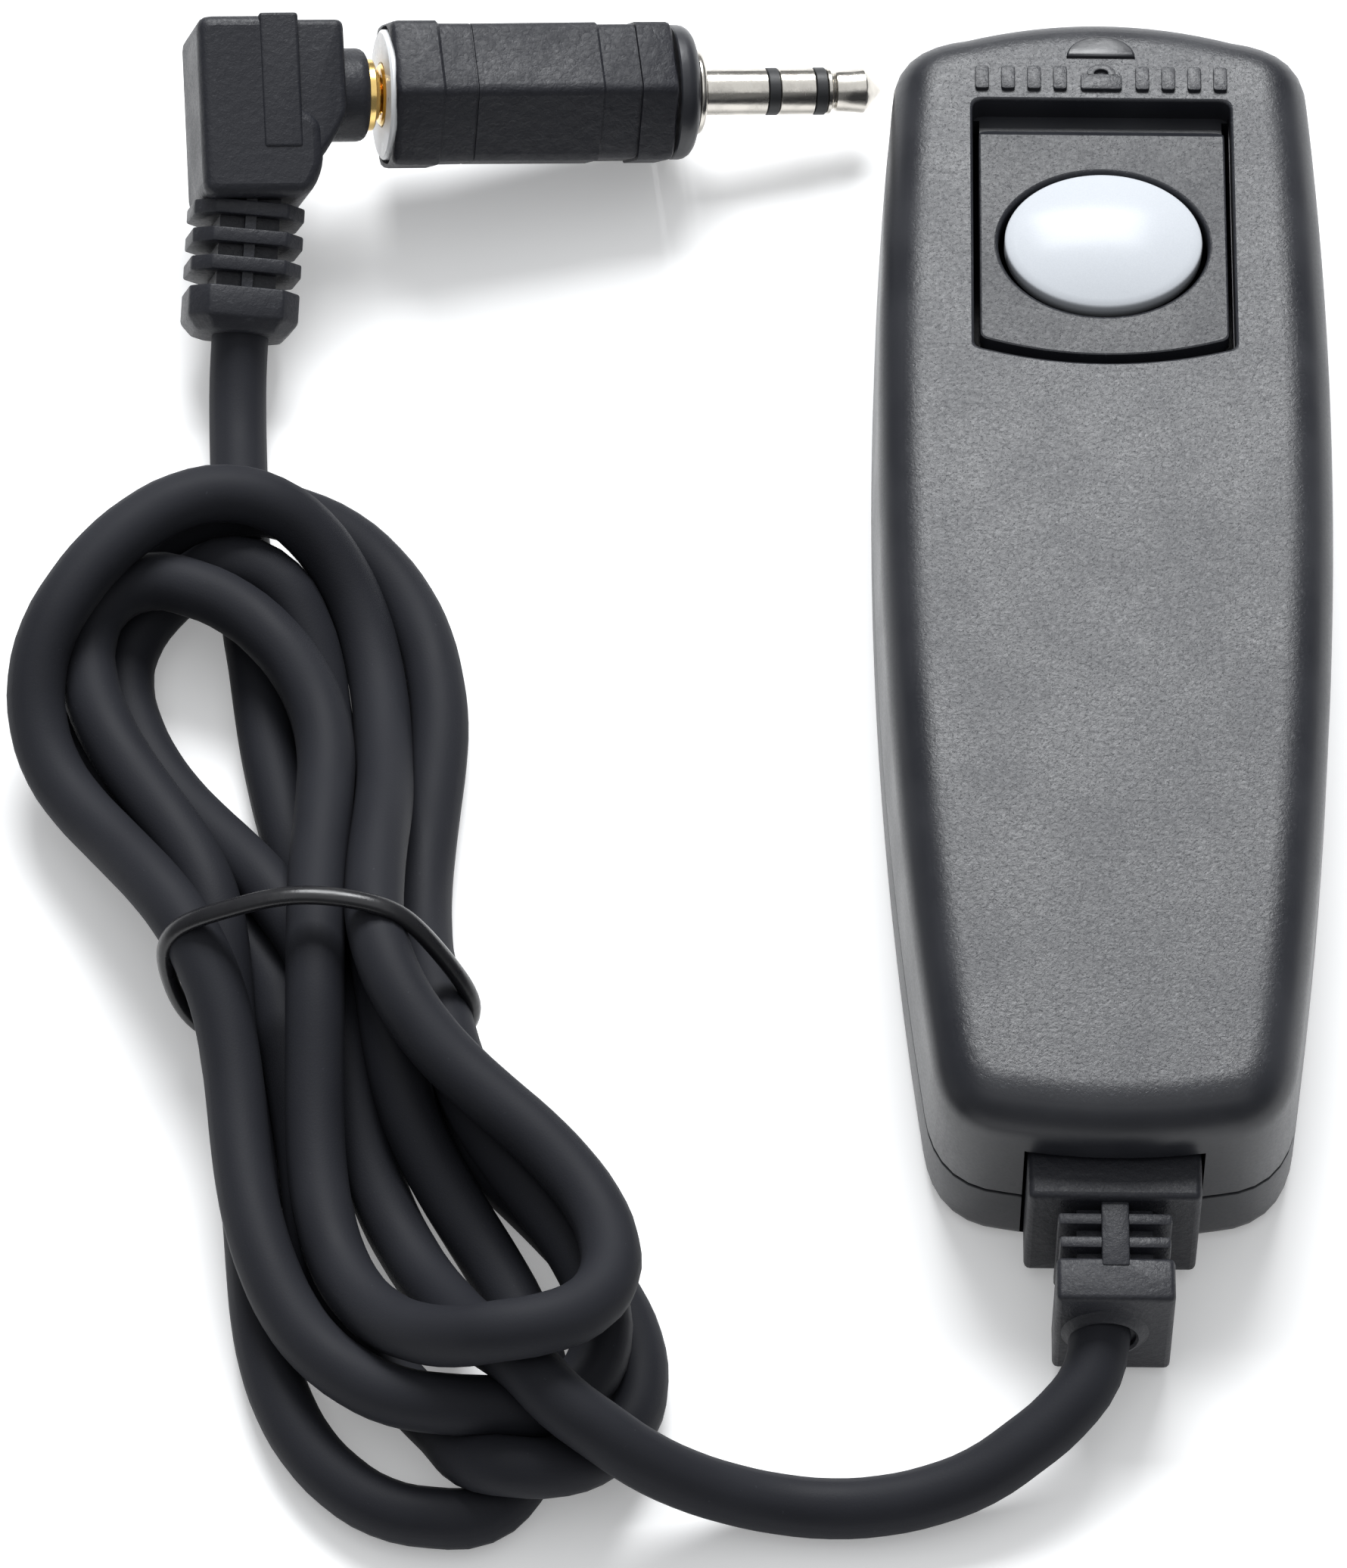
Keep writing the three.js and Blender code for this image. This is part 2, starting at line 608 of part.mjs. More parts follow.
function addAdaptor(group) {
  const start = ADAPTOR_START;
  add("adaptor_body", adaptorBody(), OVERMOULD, group);
  const face = [[1.6, start - 0.3], [4.8, start - 0.3], [4.8, start + 0.7], [1.6, start + 0.7], [1.6, start - 0.3]];
  add("adaptor_face", turnedAlong(face, 24), PALE_FACE, group);
  const socket = [[1.6, start + 1], [2.4, start + 1], [2.4, 23.5], [1.6, 23.5], [1.6, start + 1]];
  add("socket_sleeve", turnedAlong(socket), GOLD, group);
  add("socket_tip_contact", turnedAlong([[0, 24.2], [2.4, 24.2], [2.4, 25.6], [0, 25.6]]), GOLD, group);
  const noseLow = HEX_END + GAP;
  const nose = [[0, noseLow], [5, noseLow], [5, NOSE_END - 0.6], [4.5, NOSE_END], [0, NOSE_END]];
  add("adaptor_nose", turnedAlong(nose, 24), OVERMOULD, group);
  const collarLow = NOSE_END + 0.15;
  const collar = [[0, collarLow], [3.15, collarLow], [3.15, FLANGE_END], [0, FLANGE_END]];
  add("adaptor_collar", turnedAlong(collar, 24), NICKEL, group);
  addPin("pin", FLANGE_END + 0.15, PIN_TIP - FLANGE_END - 0.15, PIN_RADIUS, NICKEL, group);
}

// ---------------------------------------------------------------- assembly
add("upper_shell", upperShell(), SHELL_PLASTIC);
add("lower_shell", lowerShell(), SHELL_PLASTIC);
screwPlaces().forEach(([x, y], i) => add("shell_screw_" + (i + 1), shellScrew().translate(x, y, 0), STEEL));
add("lock_slide", lockSlide(), SLIDE_PLASTIC);
add("button_cap", buttonCap(), SILVER_PLASTIC);
add("button_plunger", buttonPlunger(), INNER_PLASTIC);
add("leaf_common", leaf(LEAF_COMMON_Z), STEEL);
add("leaf_focus", leaf(LEAF_FOCUS_Z), STEEL);
add("leaf_shutter", leaf(LEAF_SHUTTER_Z), STEEL);
add("contact_base", contactBase(), INNER_PLASTIC);
add("contact_screw", contactScrew(), STEEL);
add("wire_common", wire(0, 10), WIRE_PLASTIC);
add("wire_focus", wire(-3, 8), WIRE_PLASTIC);
add("wire_shutter", wire(3, 8), WIRE_PLASTIC);
add("body_strain_relief", bodyStrainRelief(), OVERMOULD);

add("cable_body_lead", tube(BODY_LEAD, CORD_RADIUS, CORD_SIDES, 10), CORD_PLASTIC);
add("cable_hank", hank(), CORD_PLASTIC);
add("cable_plug_lead", tube(PLUG_LEAD, CORD_RADIUS, CORD_SIDES, 5), CORD_PLASTIC);
add("cable_tie", cableTie(), TIE_PLASTIC);

const axisGroup = new THREE.Group();
axisGroup.position.copy(PLUG_PLACE);
axisGroup.rotation.set(0, AXIS_DIP, AXIS_YAW, "ZYX");
part.add(axisGroup);

const plugGroup = new THREE.Group();
plugGroup.rotation.x = PLUG_ROLL;
axisGroup.add(plugGroup);
add("plug_overmould", plugOvermould(), OVERMOULD, plugGroup);
addPin("jack", COLLAR_END + 0.15, JACK_LENGTH, JACK_RADIUS, GOLD, plugGroup);

const adaptorGroup = new THREE.Group();
adaptorGroup.rotation.x = HEX_ROLL;
axisGroup.add(adaptorGroup);
addAdaptor(adaptorGroup);

export default part;
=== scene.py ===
"""Looks for a wired shutter release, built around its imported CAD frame.
Lengths below are in millimetres unless a name says otherwise, and M turns them into metres.
"""
import json
import math

import bmesh
import bpy
import numpy as np
from mathutils import Matrix, Vector
from mathutils.geometry import convex_hull_2d

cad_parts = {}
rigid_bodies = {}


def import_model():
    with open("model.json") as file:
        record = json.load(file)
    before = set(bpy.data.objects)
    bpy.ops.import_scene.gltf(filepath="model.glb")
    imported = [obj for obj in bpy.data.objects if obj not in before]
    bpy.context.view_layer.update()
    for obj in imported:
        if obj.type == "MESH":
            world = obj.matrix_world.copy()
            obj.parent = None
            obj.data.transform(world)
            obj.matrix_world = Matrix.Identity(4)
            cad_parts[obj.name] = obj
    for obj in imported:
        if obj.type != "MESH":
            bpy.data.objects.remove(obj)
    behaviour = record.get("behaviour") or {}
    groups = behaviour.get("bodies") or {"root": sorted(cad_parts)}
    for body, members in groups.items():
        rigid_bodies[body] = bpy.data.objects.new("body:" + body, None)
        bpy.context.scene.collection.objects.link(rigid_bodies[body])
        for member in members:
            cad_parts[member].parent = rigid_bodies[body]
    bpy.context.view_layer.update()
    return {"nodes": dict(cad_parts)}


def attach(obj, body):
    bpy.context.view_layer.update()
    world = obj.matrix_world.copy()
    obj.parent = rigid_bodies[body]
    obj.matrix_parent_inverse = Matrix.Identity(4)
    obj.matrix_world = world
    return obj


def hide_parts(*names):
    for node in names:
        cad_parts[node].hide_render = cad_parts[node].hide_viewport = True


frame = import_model()

M = 0.001

# Driving dimensions.
LENGTH = 95
WIDTH = 33
THICKNESS = 16.6
WALL = 1.8
PARTING_Z = 6.2
GAP = 0.3
LARGE_FACE = 40  # mm2 from which a face is shaded flat
EDGE_RADIUS = 3.2
EDGE_WIDTH = 3.45  # the same rounding seen from above
WIDEST_Y = 12
SIDE_BOW = 0.0013  # how the sides draw in, in mm for each squared mm from WIDEST_Y
HEAD_ARC = 33
TAIL_ARC = 42

BUTTON_Y = 26.4
BUTTON_A = 7.15
BUTTON_B = 5.9
OPENING_A = 7.6
OPENING_B = 6.35
SLIDE_TRAVEL = 1.8
SLIDE_TOP = THICKNESS - 0.5
SLIDE_THICK = 1.4
RECESS_HALF = 9.4
RECESS_HEAD_Y = 38.9
RECESS_SIDE_Y = 17
RECESS_TAIL_Y = 15.7
RECESS_FLOOR = SLIDE_TOP - SLIDE_THICK - GAP
SLAB = 1.6
SCREWS = [(0, 43), (8, -37), (-8, -37)]

CORD_RADIUS = 2.1
CORD_STEP = 1.4  # spacing of the points that the cord is settled with
TIE_RADIUS = 0.62
ARCH_FOOT = 5  # height over the floor from which the tie arches over the hank
ARCH_SHARE = 0.92  # width of that arch, as a share of the tie's
WAIST_X = -57  # strands to the right of this are drawn in by the tie
WAIST_Y = -33
WAIST_PULL = 0.2  # share of a strand's distance from WAIST_X that the tie takes up
WAIST_REACH = 15
WAIST_SIDES = (-65, -44)
WAIST_FLAT = 1  # from the waist, how far strands on the ground are lifted in full
WAIST_FADE = 5  # from there to where they lie on the ground again
TIE_FOOT = Vector((-54.4, -33.4, 0))
TIE_REACH = 14  # sideways from the tie's foot, for the strands that it holds

# The plug's and the adaptor's common axis.
PLUG_PLACE = Vector((-62.3, 41.9, 12))
AXIS = (
    Matrix.Translation(PLUG_PLACE)
    @ Matrix.Rotation(math.radians(8), 4, "Z")
    @ Matrix.Rotation(math.radians(9), 4, "Y")
)
PLUG = AXIS @ Matrix.Rotation(math.radians(25), 4, "X")
ADAPTOR = AXIS @ Matrix.Rotation(math.radians(4), 4, "X")

# Centre line of the cord, strand by strand, from the switch to the plug.
STRANDS = {
    "lead out": [
        (-0.65, -57.3, 6.1), (-0.7, -58.1, 6.1), (-0.9, -59.5, 6), (-1.9, -61.5, 5.6), (-3.7, -63.6, 5),
        (-6.4, -65.7, 4.2), (-9.5, -67.5, 3.3), (-13.9, -68.8, 2.5), (-18.9, -69.3, 2.3), (-23.8, -68.7, 2.8),
    ],
    "up over the tail loops": [
        (-31.2, -68.3, 6.5), (-33.7, -67.4, 8.5), (-36.6, -66.5, 10), (-39.7, -65, 10.5), (-42.7, -61.2, 9.5),
        (-45.3, -55, 6.5), (-47.8, -49.7, 3.5), (-50.3, -45.3, 3), (-51.6, -38.5, 3.5), (-53, -32.5, 5),
        (-55.4, -27.2, 5.5), (-59.2, -22.9, 5.5),
    ],
    "hidden head loop": [
        (-62.5, -18.8, 4), (-65.6, -13.9, 2.4), (-68.4, -8.9, 2), (-70.3, -4.4, 2), (-70.9, -0.4, 2.6),
        (-69.6, 2.8, 4), (-66.8, 4.2, 5), (-63.6, 4.8, 5.5), (-60.4, 4.8, 5.5), (-57.9, 3, 5.2),
        (-56.3, -0.4, 4.8), (-55.9, -5, 4.6), (-55.4, -10.9, 4.5), (-54.1, -17.3, 5), (-51.7, -24.3, 6),
        (-49.9, -31.1, 7), (-48.7, -36.9, 6.5),
    ],
    "down to the outer tail loop": [
        (-47, -41.8, 4.5), (-44.3, -46.2, 3), (-41.6, -51.1, 2), (-39.7, -56.4, 2), (-38.8, -61.7, 2),
        (-39.7, -66.1, 2),
    ],
    "outer tail loop": [
        (-42.7, -69, 2), (-46.8, -70.4, 2), (-50.5, -69.3, 2), (-54.2, -66, 2), (-56.9, -61.3, 2),
        (-58.3, -56.1, 2), (-58.8, -50.7, 2), (-58.8, -45.3, 2), (-58.7, -40.7, 2.5), (-59.1, -36, 3),
        (-60.8, -30.6, 3),
    ],
    "inner head loop": [
        (-62.5, -24.8, 2.4), (-64.8, -19.8, 4.2), (-68, -14.9, 5.4), (-71, -10, 5.6), (-73.1, -5.4, 5.8),
        (-73.5, -0.6, 6.8), (-71.8, 2.5, 8.3), (-68.4, 3.3, 9.5), (-64.8, 2, 10), (-61.2, -0.4, 10),
        (-58, -3.6, 10), (-55.6, -8, 9), (-54.9, -13.2, 8.5), (-54.8, -18.2, 9), (-55, -22.9, 9.5),
    ],
    "front strand down": [
        (-54.9, -27.5, 9.5), (-54.6, -32.3, 9), (-54.4, -35.7, 8), (-54.7, -39.5, 7), (-54.7, -43, 6.5),
        (-54.2, -48.8, 6.5), (-52.3, -54.7, 7.5), (-49.6, -58.4, 9), (-46.4, -60.9, 11), (-42.7, -62.2, 12.5),
    ],
    "front strand up": [
        (-39.1, -62.8, 14), (-36.2, -61.1, 13), (-34.2, -58.1, 12.5), (-33.6, -54.5, 11),
        (-34.2, -51.2, 10.5), (-35.6, -48.4, 10), (-37.7, -45.4, 10), (-40.6, -42.5, 10.5),
        (-44.2, -38.6, 10.5), (-47.8, -34.3, 11), (-49.8, -30.1, 11), (-50.8, -24.3, 10),
    ],
    "outer head loop": [
        (-51.2, -15.6, 8), (-51.9, -8.3, 5), (-52.7, -2.2, 4.5), (-54, 3, 5), (-56.4, 6.7, 6.5),
        (-59.7, 8.4, 8.5), (-63.7, 8.4, 10.5), (-67.6, 6.2, 11.5), (-70.9, 2.4, 11.5), (-73.6, -1.3, 10),
        (-75.4, -4.6, 7), (-76.1, -8.5, 4.5), (-75.6, -12, 3), (-73.1, -15.2, 2.5), (-69.4, -19.4, 4),
        (-65.8, -23.6, 5),
    ],
    "left strand down": [
        (-63.2, -28.8, 6.5), (-61.5, -33.8, 7.5), (-60.8, -38.4, 7), (-60.4, -42.5, 6.5), (-59.8, -46.2, 6.5),
        (-59.1, -49.6, 6.5), (-57.4, -54.7, 6), (-54.8, -59.1, 6), (-50.5, -62.8, 7), (-46.1, -65.5, 8),
        (-42, -65.8, 7), (-38.6, -64.9, 6), (-35.9, -62.8, 6),
    ],
    "right strand up": [
        (-34.3, -59.7, 5.5), (-34.1, -56.3, 6), (-35.6, -52.3, 6), (-38, -48, 6), (-40.7, -43.2, 6.5),
        (-43.4, -37.6, 6), (-45.5, -31.1, 4), (-46.7, -24.7, 2.5),
    ],
    "far head loop": [
        (-47.5, -18.7, 2), (-47.6, -13, 2), (-47.6, -6.6, 2), (-48.6, -0.2, 2), (-50.8, 4.9, 2.5),
        (-53.6, 8.2, 3.5), (-56.6, 9.4, 4.5), (-60.4, 9.2, 5.5), (-64.2, 8.2, 5.5), (-67.9, 6.3, 4.5),
        (-71.2, 3.7, 3), (-73.6, 0.8, 2), (-74.3, -3.4, 2), (-73.5, -8, 2), (-71.2, -13, 2),
        (-67.6, -17.4, 2), (-63.2, -21.6, 2), (-59.6, -26, 2), (-57.2, -30.4, 2.5),
    ],
    "lowest strand down": [
        (-56.5, -36.5, 2.5), (-56, -42.9, 2), (-55, -49.5, 2), (-52.7, -55.5, 2), (-49.2, -59, 2),
        (-44.9, -63.2, 3.5), (-41.5, -67.5, 6), (-38.1, -68.4, 5.5), (-35.1, -66.7, 4), (-32.8, -63.5, 3),
    ],
    "lowest strand up": [
        (-32, -59.4, 2), (-32.8, -55.4, 2), (-34.8, -51.6, 2), (-37.5, -47.5, 2), (-40.8, -43, 2),
        (-44.5, -38.5, 2), (-48.3, -34.8, 3), (-51.2, -29.6, 2.5), (-53.4, -24.4, 2), (-55.3, -20.1, 2),
    ],
    "out to the plug": [
        (-56.8, -14.7, 2), (-58.5, -9.3, 2), (-60.3, -2.9, 2), (-61.7, 3.6, 2), (-62.2, 9.5, 2.1),
        (-62.5, 13.8, 2.2), (-62.7, 16, 2.2), (-62.85, 18.6, 2.35), (-62.95, 21.2, 2.9), (-62.95, 23.3, 3.7),
        (-62.9, 25, 4.45), (-62.85, 25.8, 4.8),
    ],
}
LEAD_LENGTH = 25  # cord that the switch holds in place
PLUG_LEAD_LENGTH = 10  # cord that the plug holds in place

# How the strands settle. Pairs hold for the first steps and for the calm last ones.
SETTLE_STEPS = 700
CALM_FROM = 0.6  # share of the steps
NEAR = 3  # mm between strands that are watched for touching
EVEN_SHORT = 0.25  # share of an uneven bend that is evened out, over 1 point to either side
EVEN_LONG = (0.08, 0.02)  # the same over 4 points
HOMING = (0.12, 0.018)  # share of the way back to the listed route
SINKING = (0.03, 0.0045)  # mm


# Lines and meshes.
def spline(points, steps=16):
    """Points along a smooth curve through the given points."""
    points = np.asarray(points, float)
    padded = np.vstack([2 * points[0] - points[1], points, 2 * points[-1] - points[-2]])
    t = np.linspace(0, 1, steps, endpoint=False)[:, None]
    out = []
    for p0, p1, p2, p3 in zip(padded, padded[1:], padded[2:], padded[3:]):
        out.append(0.5 * (2 * p1 + (p2 - p0) * t + (2 * p0 - 5 * p1 + 4 * p2 - p3) * t**2
                          + (3 * p1 - p0 - 3 * p2 + p3) * t**3))
    return np.vstack(out + [points[-1:]])


def spaced(points, step):
    """The same line with evenly spaced points."""
    run = np.r_[0, np.cumsum(np.linalg.norm(np.diff(points, axis=0), axis=1))]
    at = np.linspace(0, run[-1], int(round(run[-1] / step)) + 1)
    return np.stack([np.interp(at, run, points[:, k]) for k in range(3)], axis=1)


def link(obj):
    bpy.context.scene.collection.objects.link(obj)
    return obj


def mesh_object(name, bm):
    bmesh.ops.remove_doubles(bm, verts=bm.verts, dist=1e-7)
    bmesh.ops.recalc_face_normals(bm, faces=bm.faces)
    mesh = bpy.data.meshes.new(name)
    bm.to_mesh(mesh)
    bm.free()
    return link(bpy.data.objects.new(name, mesh))


def loft(name, rings, place=Matrix.Identity(4)):
    """A closed skin over rings of equally many points, in millimetres."""
    bm = bmesh.new()
    rows = [[bm.verts.new((place @ Vector(p)) * M) for p in ring] for ring in rings]
    for low, high in zip(rows, rows[1:]):
        for i in range(len(low)):
            j = (i + 1) % len(low)
            bm.faces.new((low[i], low[j], high[j], high[i]))
    bm.faces.new(rows[0][::-1])
    bm.faces.new(rows[-1])
    return mesh_object(name, bm)


def at_height(outline, z):
    return [(x, y, z) for x, y in outline]


def prism(name, outline, low, high, place=Matrix.Identity(4)):
    return loft(name, [at_height(outline, low), at_height(outline, high)], place)


def box(name, low, high, place=Matrix.Identity(4)):
    (x0, y0, z0), (x1, y1, z1) = low, high
    return prism(name, [(x0, y0), (x1, y0), (x1, y1), (x0, y1)], z0, z1, place)


def turned(name, profile, place=Matrix.Identity(4), sides=64, axis="X", squeeze=1.0):
    """A solid turned from pairs of radius and height. A profile that ends where it starts makes a ring."""
    bm = bmesh.new()
    closed = profile[0] == profile[-1]
    points = profile[:-1] if closed else profile
    rows = []
    for radius, height in points:
        if radius == 0:
            spots = [(0.0, 0.0)]
        else:
            angles = [2 * math.pi * i / sides for i in range(sides)]
            spots = [(radius * math.cos(a), radius * math.sin(a) * squeeze) for a in angles]
        spots = [(height, x, y) if axis == "X" else (x, y, height) for x, y in spots]
        rows.append([bm.verts.new((place @ Vector(spot)) * M) for spot in spots])
    pairs = list(zip(rows, rows[1:]))
    if closed:
        pairs.append((rows[-1], rows[0]))
    for low, high in pairs:
        for i in range(sides):
            j = (i + 1) % sides
            if len(low) == 1:
                bm.faces.new((low[0], high[j], high[i]))
            elif len(high) == 1:
                bm.faces.new((low[i], low[j], high[0]))
            else:
                bm.faces.new((low[i], low[j], high[j], high[i]))
    return mesh_object(name, bm)


def rounded(corners, radius, steps=4):
    """A polygon with each of its corners rounded."""
    out = []
    count = len(corners)
    for i, (x, y) in enumerate(corners):
        here = Vector((x, y))
        before = (Vector(corners[i - 1]) - here).normalized() * radius
        after = (Vector(corners[(i + 1) % count]) - here).normalized() * radius
        for s in range(steps + 1):
            t = s / steps
            out.append(tuple(here + before * (1 - t) ** 2 + after * t**2))
    return out


def shrunk(corners, inset):
    """A counterclockwise polygon with its sides moved inwards."""
    out = []
    count = len(corners)
    for i in range(count):
        here = Vector(corners[i])
        into = (here - Vector(corners[i - 1])).normalized()
        away = (Vector(corners[(i + 1) % count]) - here).normalized()
        normal = Vector((-into.y, into.x))
        turn = into.x * away.y - into.y * away.x
        out.append(here + normal * inset + into * (inset * (into.dot(away) - 1) / turn))
    return out


def pillow(name, corners, corner_radius, low, high, edge, place=Matrix.Identity(4)):
    """A prism over a counterclockwise polygon, with its corners and the edges of both its ends rounded."""
    rows = []
    turns = [step * math.pi / 8 for step in range(5)]
    heights = [(edge * (1 - math.sin(a)), low + edge * (1 - math.cos(a))) for a in turns]
    heights += [(edge * (1 - math.sin(a)), high - edge * (1 - math.cos(a))) for a in turns[::-1]]
    for inset, z in heights:
        radius = max(corner_radius - inset, 0.12)
        rows.append(at_height(rounded(shrunk(corners, inset), radius), z))
    return loft(name, rows, place)


def evaluated(obj):
    """Bakes an object's modifiers into its mesh."""
    graph = bpy.context.evaluated_depsgraph_get()
    mesh = bpy.data.meshes.new_from_object(obj.evaluated_get(graph))
    old = obj.data
    obj.modifiers.clear()
    obj.data = mesh
    bpy.data.meshes.remove(old)
    return obj


def combine(target, tool, operation):
    """Applies a boolean and uses up its tool."""
    modifier = target.modifiers.new("boolean", "BOOLEAN")
    modifier.operation = operation
    modifier.solver = "EXACT"
    modifier.object = tool
    evaluated(target)
    bpy.data.objects.remove(tool)


def cut(target, tool):
    combine(target, tool, "DIFFERENCE")


def add(target, tool):
    combine(target, tool, "UNION")


def soften(obj, width, angle=40, segments=2):
    """Rounds the edges that are sharper than an angle."""
    bevel = obj.modifiers.new("soften", "BEVEL")
    bevel.width = width * M
    bevel.segments = segments
    bevel.limit_method = "ANGLE"
    bevel.angle_limit = math.radians(angle)
    bevel.use_clamp_overlap = True
    bevel.miter_outer = "MITER_ARC"
    return evaluated(obj)


def smooth(obj, angle=35):
    """Shading runs on over edges that are shallower than an angle, and large faces are shaded flat."""
    obj.data.shade_smooth()
    obj.data.set_sharp_from_angle(angle=math.radians(angle))
    for face in obj.data.polygons:
        face.use_smooth = face.area < LARGE_FACE * M * M
    return obj


def joined(name, objects):
    """One object of several meshes that do not touch."""
    bm = bmesh.new()
    for obj in objects:
        bm.from_mesh(obj.data)
        bpy.data.objects.remove(obj)
    mesh = bpy.data.meshes.new(name)
    bm.to_mesh(mesh)
    bm.free()
    return link(bpy.data.objects.new(name, mesh))


# Materials.
def shader(name, color, roughness, metallic=0.0, specular=0.5):
    """A new material and its node tree."""
    material = bpy.data.materials.new(name)
    material.use_nodes = True
    tree = material.node_tree
    surface = tree.nodes["Principled BSDF"].inputs
    surface["Base Color"].default_value = (*color, 1)
    surface["Roughness"].default_value = roughness
    surface["Metallic"].default_value = metallic
    surface["Specular IOR Level"].default_value = specular
    return material, tree


def position(tree, stretch=(1, 1, 1)):
    """The row frame's own coordinates in millimetres, each stretched by a factor."""
    geometry = tree.nodes.new("ShaderNodeTexCoord")
    mapping = tree.nodes.new("ShaderNodeMapping")
    mapping.inputs["Scale"].default_value = [s / M for s in stretch]
    tree.links.new(geometry.outputs["Object"], mapping.inputs["Vector"])
    return mapping.outputs["Vector"]


def noise(tree, vector, size, detail=3.0, rough=0.55, distortion=0.0):
    """Noise whose features are about size millimetres wide."""
    node = tree.nodes.new("ShaderNodeTexNoise")
    node.inputs["Scale"].default_value = 1 / size
    node.inputs["Detail"].default_value = detail
    node.inputs["Roughness"].default_value = rough
    node.inputs["Distortion"].default_value = distortion
    tree.links.new(vector, node.inputs["Vector"])
    return node.outputs["Fac"]


def cells(tree, vector, size):
    """The distance to the middle of the nearest of many cells, about size millimetres wide."""
    node = tree.nodes.new("ShaderNodeTexVoronoi")
    node.inputs["Scale"].default_value = 1 / size
    tree.links.new(vector, node.inputs["Vector"])
    return node.outputs["Distance"]


def spread(tree, value, low, high, out_low, out_high):
    """A value between low and high, turned into one between out_low and out_high."""
    node = tree.nodes.new("ShaderNodeMapRange")
    node.inputs["From Min"].default_value = low
    node.inputs["From Max"].default_value = high
    node.inputs["To Min"].default_value = out_low
    node.inputs["To Max"].default_value = out_high
    tree.links.new(value, node.inputs["Value"])
    return node.outputs["Result"]


def combined(tree, operation, a, b):
    node = tree.nodes.new("ShaderNodeMath")
    node.operation = operation
    for socket, value in zip(node.inputs, (a, b)):
        if isinstance(value, (int, float)):
            socket.default_value = value
        else:
            tree.links.new(value, socket)
    return node.outputs["Value"]


def feed(tree, socket, value):
    tree.links.new(value, tree.nodes["Principled BSDF"].inputs[socket])


def paint(tree, factor, color_a, color_b):
    """The base colour, blended between two by a factor."""
    node = tree.nodes.new("ShaderNodeMix")
    node.data_type = "RGBA"
    node.inputs["A"].default_value = (*color_a, 1)
    node.inputs["B"].default_value = (*color_b, 1)
    tree.links.new(factor, node.inputs["Factor"])
    feed(tree, "Base Color", node.outputs["Result"])


def bump(tree, height, depth):
    """Bump from a height of 0 to 1, that deep in millimetres."""
    node = tree.nodes.new("ShaderNodeBump")
    node.inputs["Distance"].default_value = depth * M
    tree.links.new(height, node.inputs["Height"])
    feed(tree, "Normal", node.outputs["Normal"])


def roughen(tree, roughness, value, less, more, haze, low, high, least, most):
    """A roughness that one value varies about its middle, and another raises or lowers."""
    varied = spread(tree, value, 0.3, 0.7, roughness - less, roughness + more)
    feed(tree, "Roughness", combined(tree, "ADD", varied, spread(tree, haze, low, high, least, most)))


def spark_plastic(name, dark, light, roughness, grain, depth, flat_z, specular):
    """A satin moulding whose flat top carries the crinkled grain and the pits of a spark-eroded tool."""
    material, tree = shader(name, dark, roughness, specular=specular)
    spot = position(tree)
    fine = noise(tree, spot, grain * 0.45, 4.0, 0.6, 0.4)
    crinkle = noise(tree, spot, grain, 5.0, 0.62, 1.2)
    broad = noise(tree, spot, 7.0, 2.0)
    apart = tree.nodes.new("ShaderNodeSeparateXYZ")
    tree.links.new(spot, apart.inputs["Vector"])
    top = spread(tree, apart.outputs["Z"], flat_z - 0.45, flat_z - 0.03, 0.06, 1.0)
    specks = spread(tree, noise(tree, spot, grain * 0.6, 2.0, 0.5), 0.6, 0.8, 0.0, 1.0)
    shade = combined(tree, "MULTIPLY", specks, top)
    shade = combined(tree, "ADD", shade, spread(tree, broad, 0.35, 0.65, 0.0, 0.2))
    paint(tree, shade, dark, light)
    pits = spread(tree, noise(tree, spot, grain * 0.4, 1.0, 0.5), 0.3, 0.36, -0.18, 0.0)
    height = combined(tree, "MULTIPLY", crinkle, 0.75)
    height = combined(tree, "ADD", height, combined(tree, "MULTIPLY", fine, 0.35))
    height = combined(tree, "MULTIPLY", combined(tree, "ADD", height, pits), top)
    roughen(tree, roughness, fine, 0.05, 0.05, broad, 0.35, 0.65, -0.03, 0.03)
    bump(tree, height, depth)
    return material


def leather_plastic(name, dark, light, roughness, grain, depth):
    """A soft moulding with a leathery grain and small scuffs."""
    material, tree = shader(name, dark, roughness, specular=0.34)
    spot = position(tree)
    creases = cells(tree, spot, grain)
    fine = noise(tree, spot, grain * 0.35, 4.0, 0.6, 0.6)
    broad = noise(tree, spot, 5.0, 2.0)
    scuffs = noise(tree, position(tree, (0.35, 1, 1)), 0.5, 5.0, 0.7)
    paint(tree, spread(tree, scuffs, 0.62, 0.72, 0.0, 0.6), dark, light)
    height = combined(tree, "MULTIPLY", creases, 0.45)
    height = combined(tree, "ADD", height, combined(tree, "MULTIPLY", fine, 0.7))
    roughen(tree, roughness, fine, 0.08, 0.08, broad, 0.35, 0.65, -0.05, 0.05)
    bump(tree, height, depth)
    return material


def sheath_plastic(name, dark, light, roughness):
    """A soft matt sheath: faint dust, a slow change of sheen, and a very fine grain."""
    material, tree = shader(name, dark, roughness, specular=0.14)
    spot = position(tree)
    fine = noise(tree, spot, 0.18, 3.0, 0.6)
    slow = noise(tree, spot, 9.0, 2.0)
    dust = spread(tree, noise(tree, spot, 0.35, 2.0, 0.5), 0.74, 0.8, 0.0, 0.7)
    paint(tree, combined(tree, "ADD", dust, spread(tree, slow, 0.3, 0.7, 0.0, 0.2)), dark, light)
    feed(tree, "Roughness", spread(tree, slow, 0.3, 0.7, roughness - 0.06, roughness + 0.06))
    bump(tree, fine, 0.012)
    return material


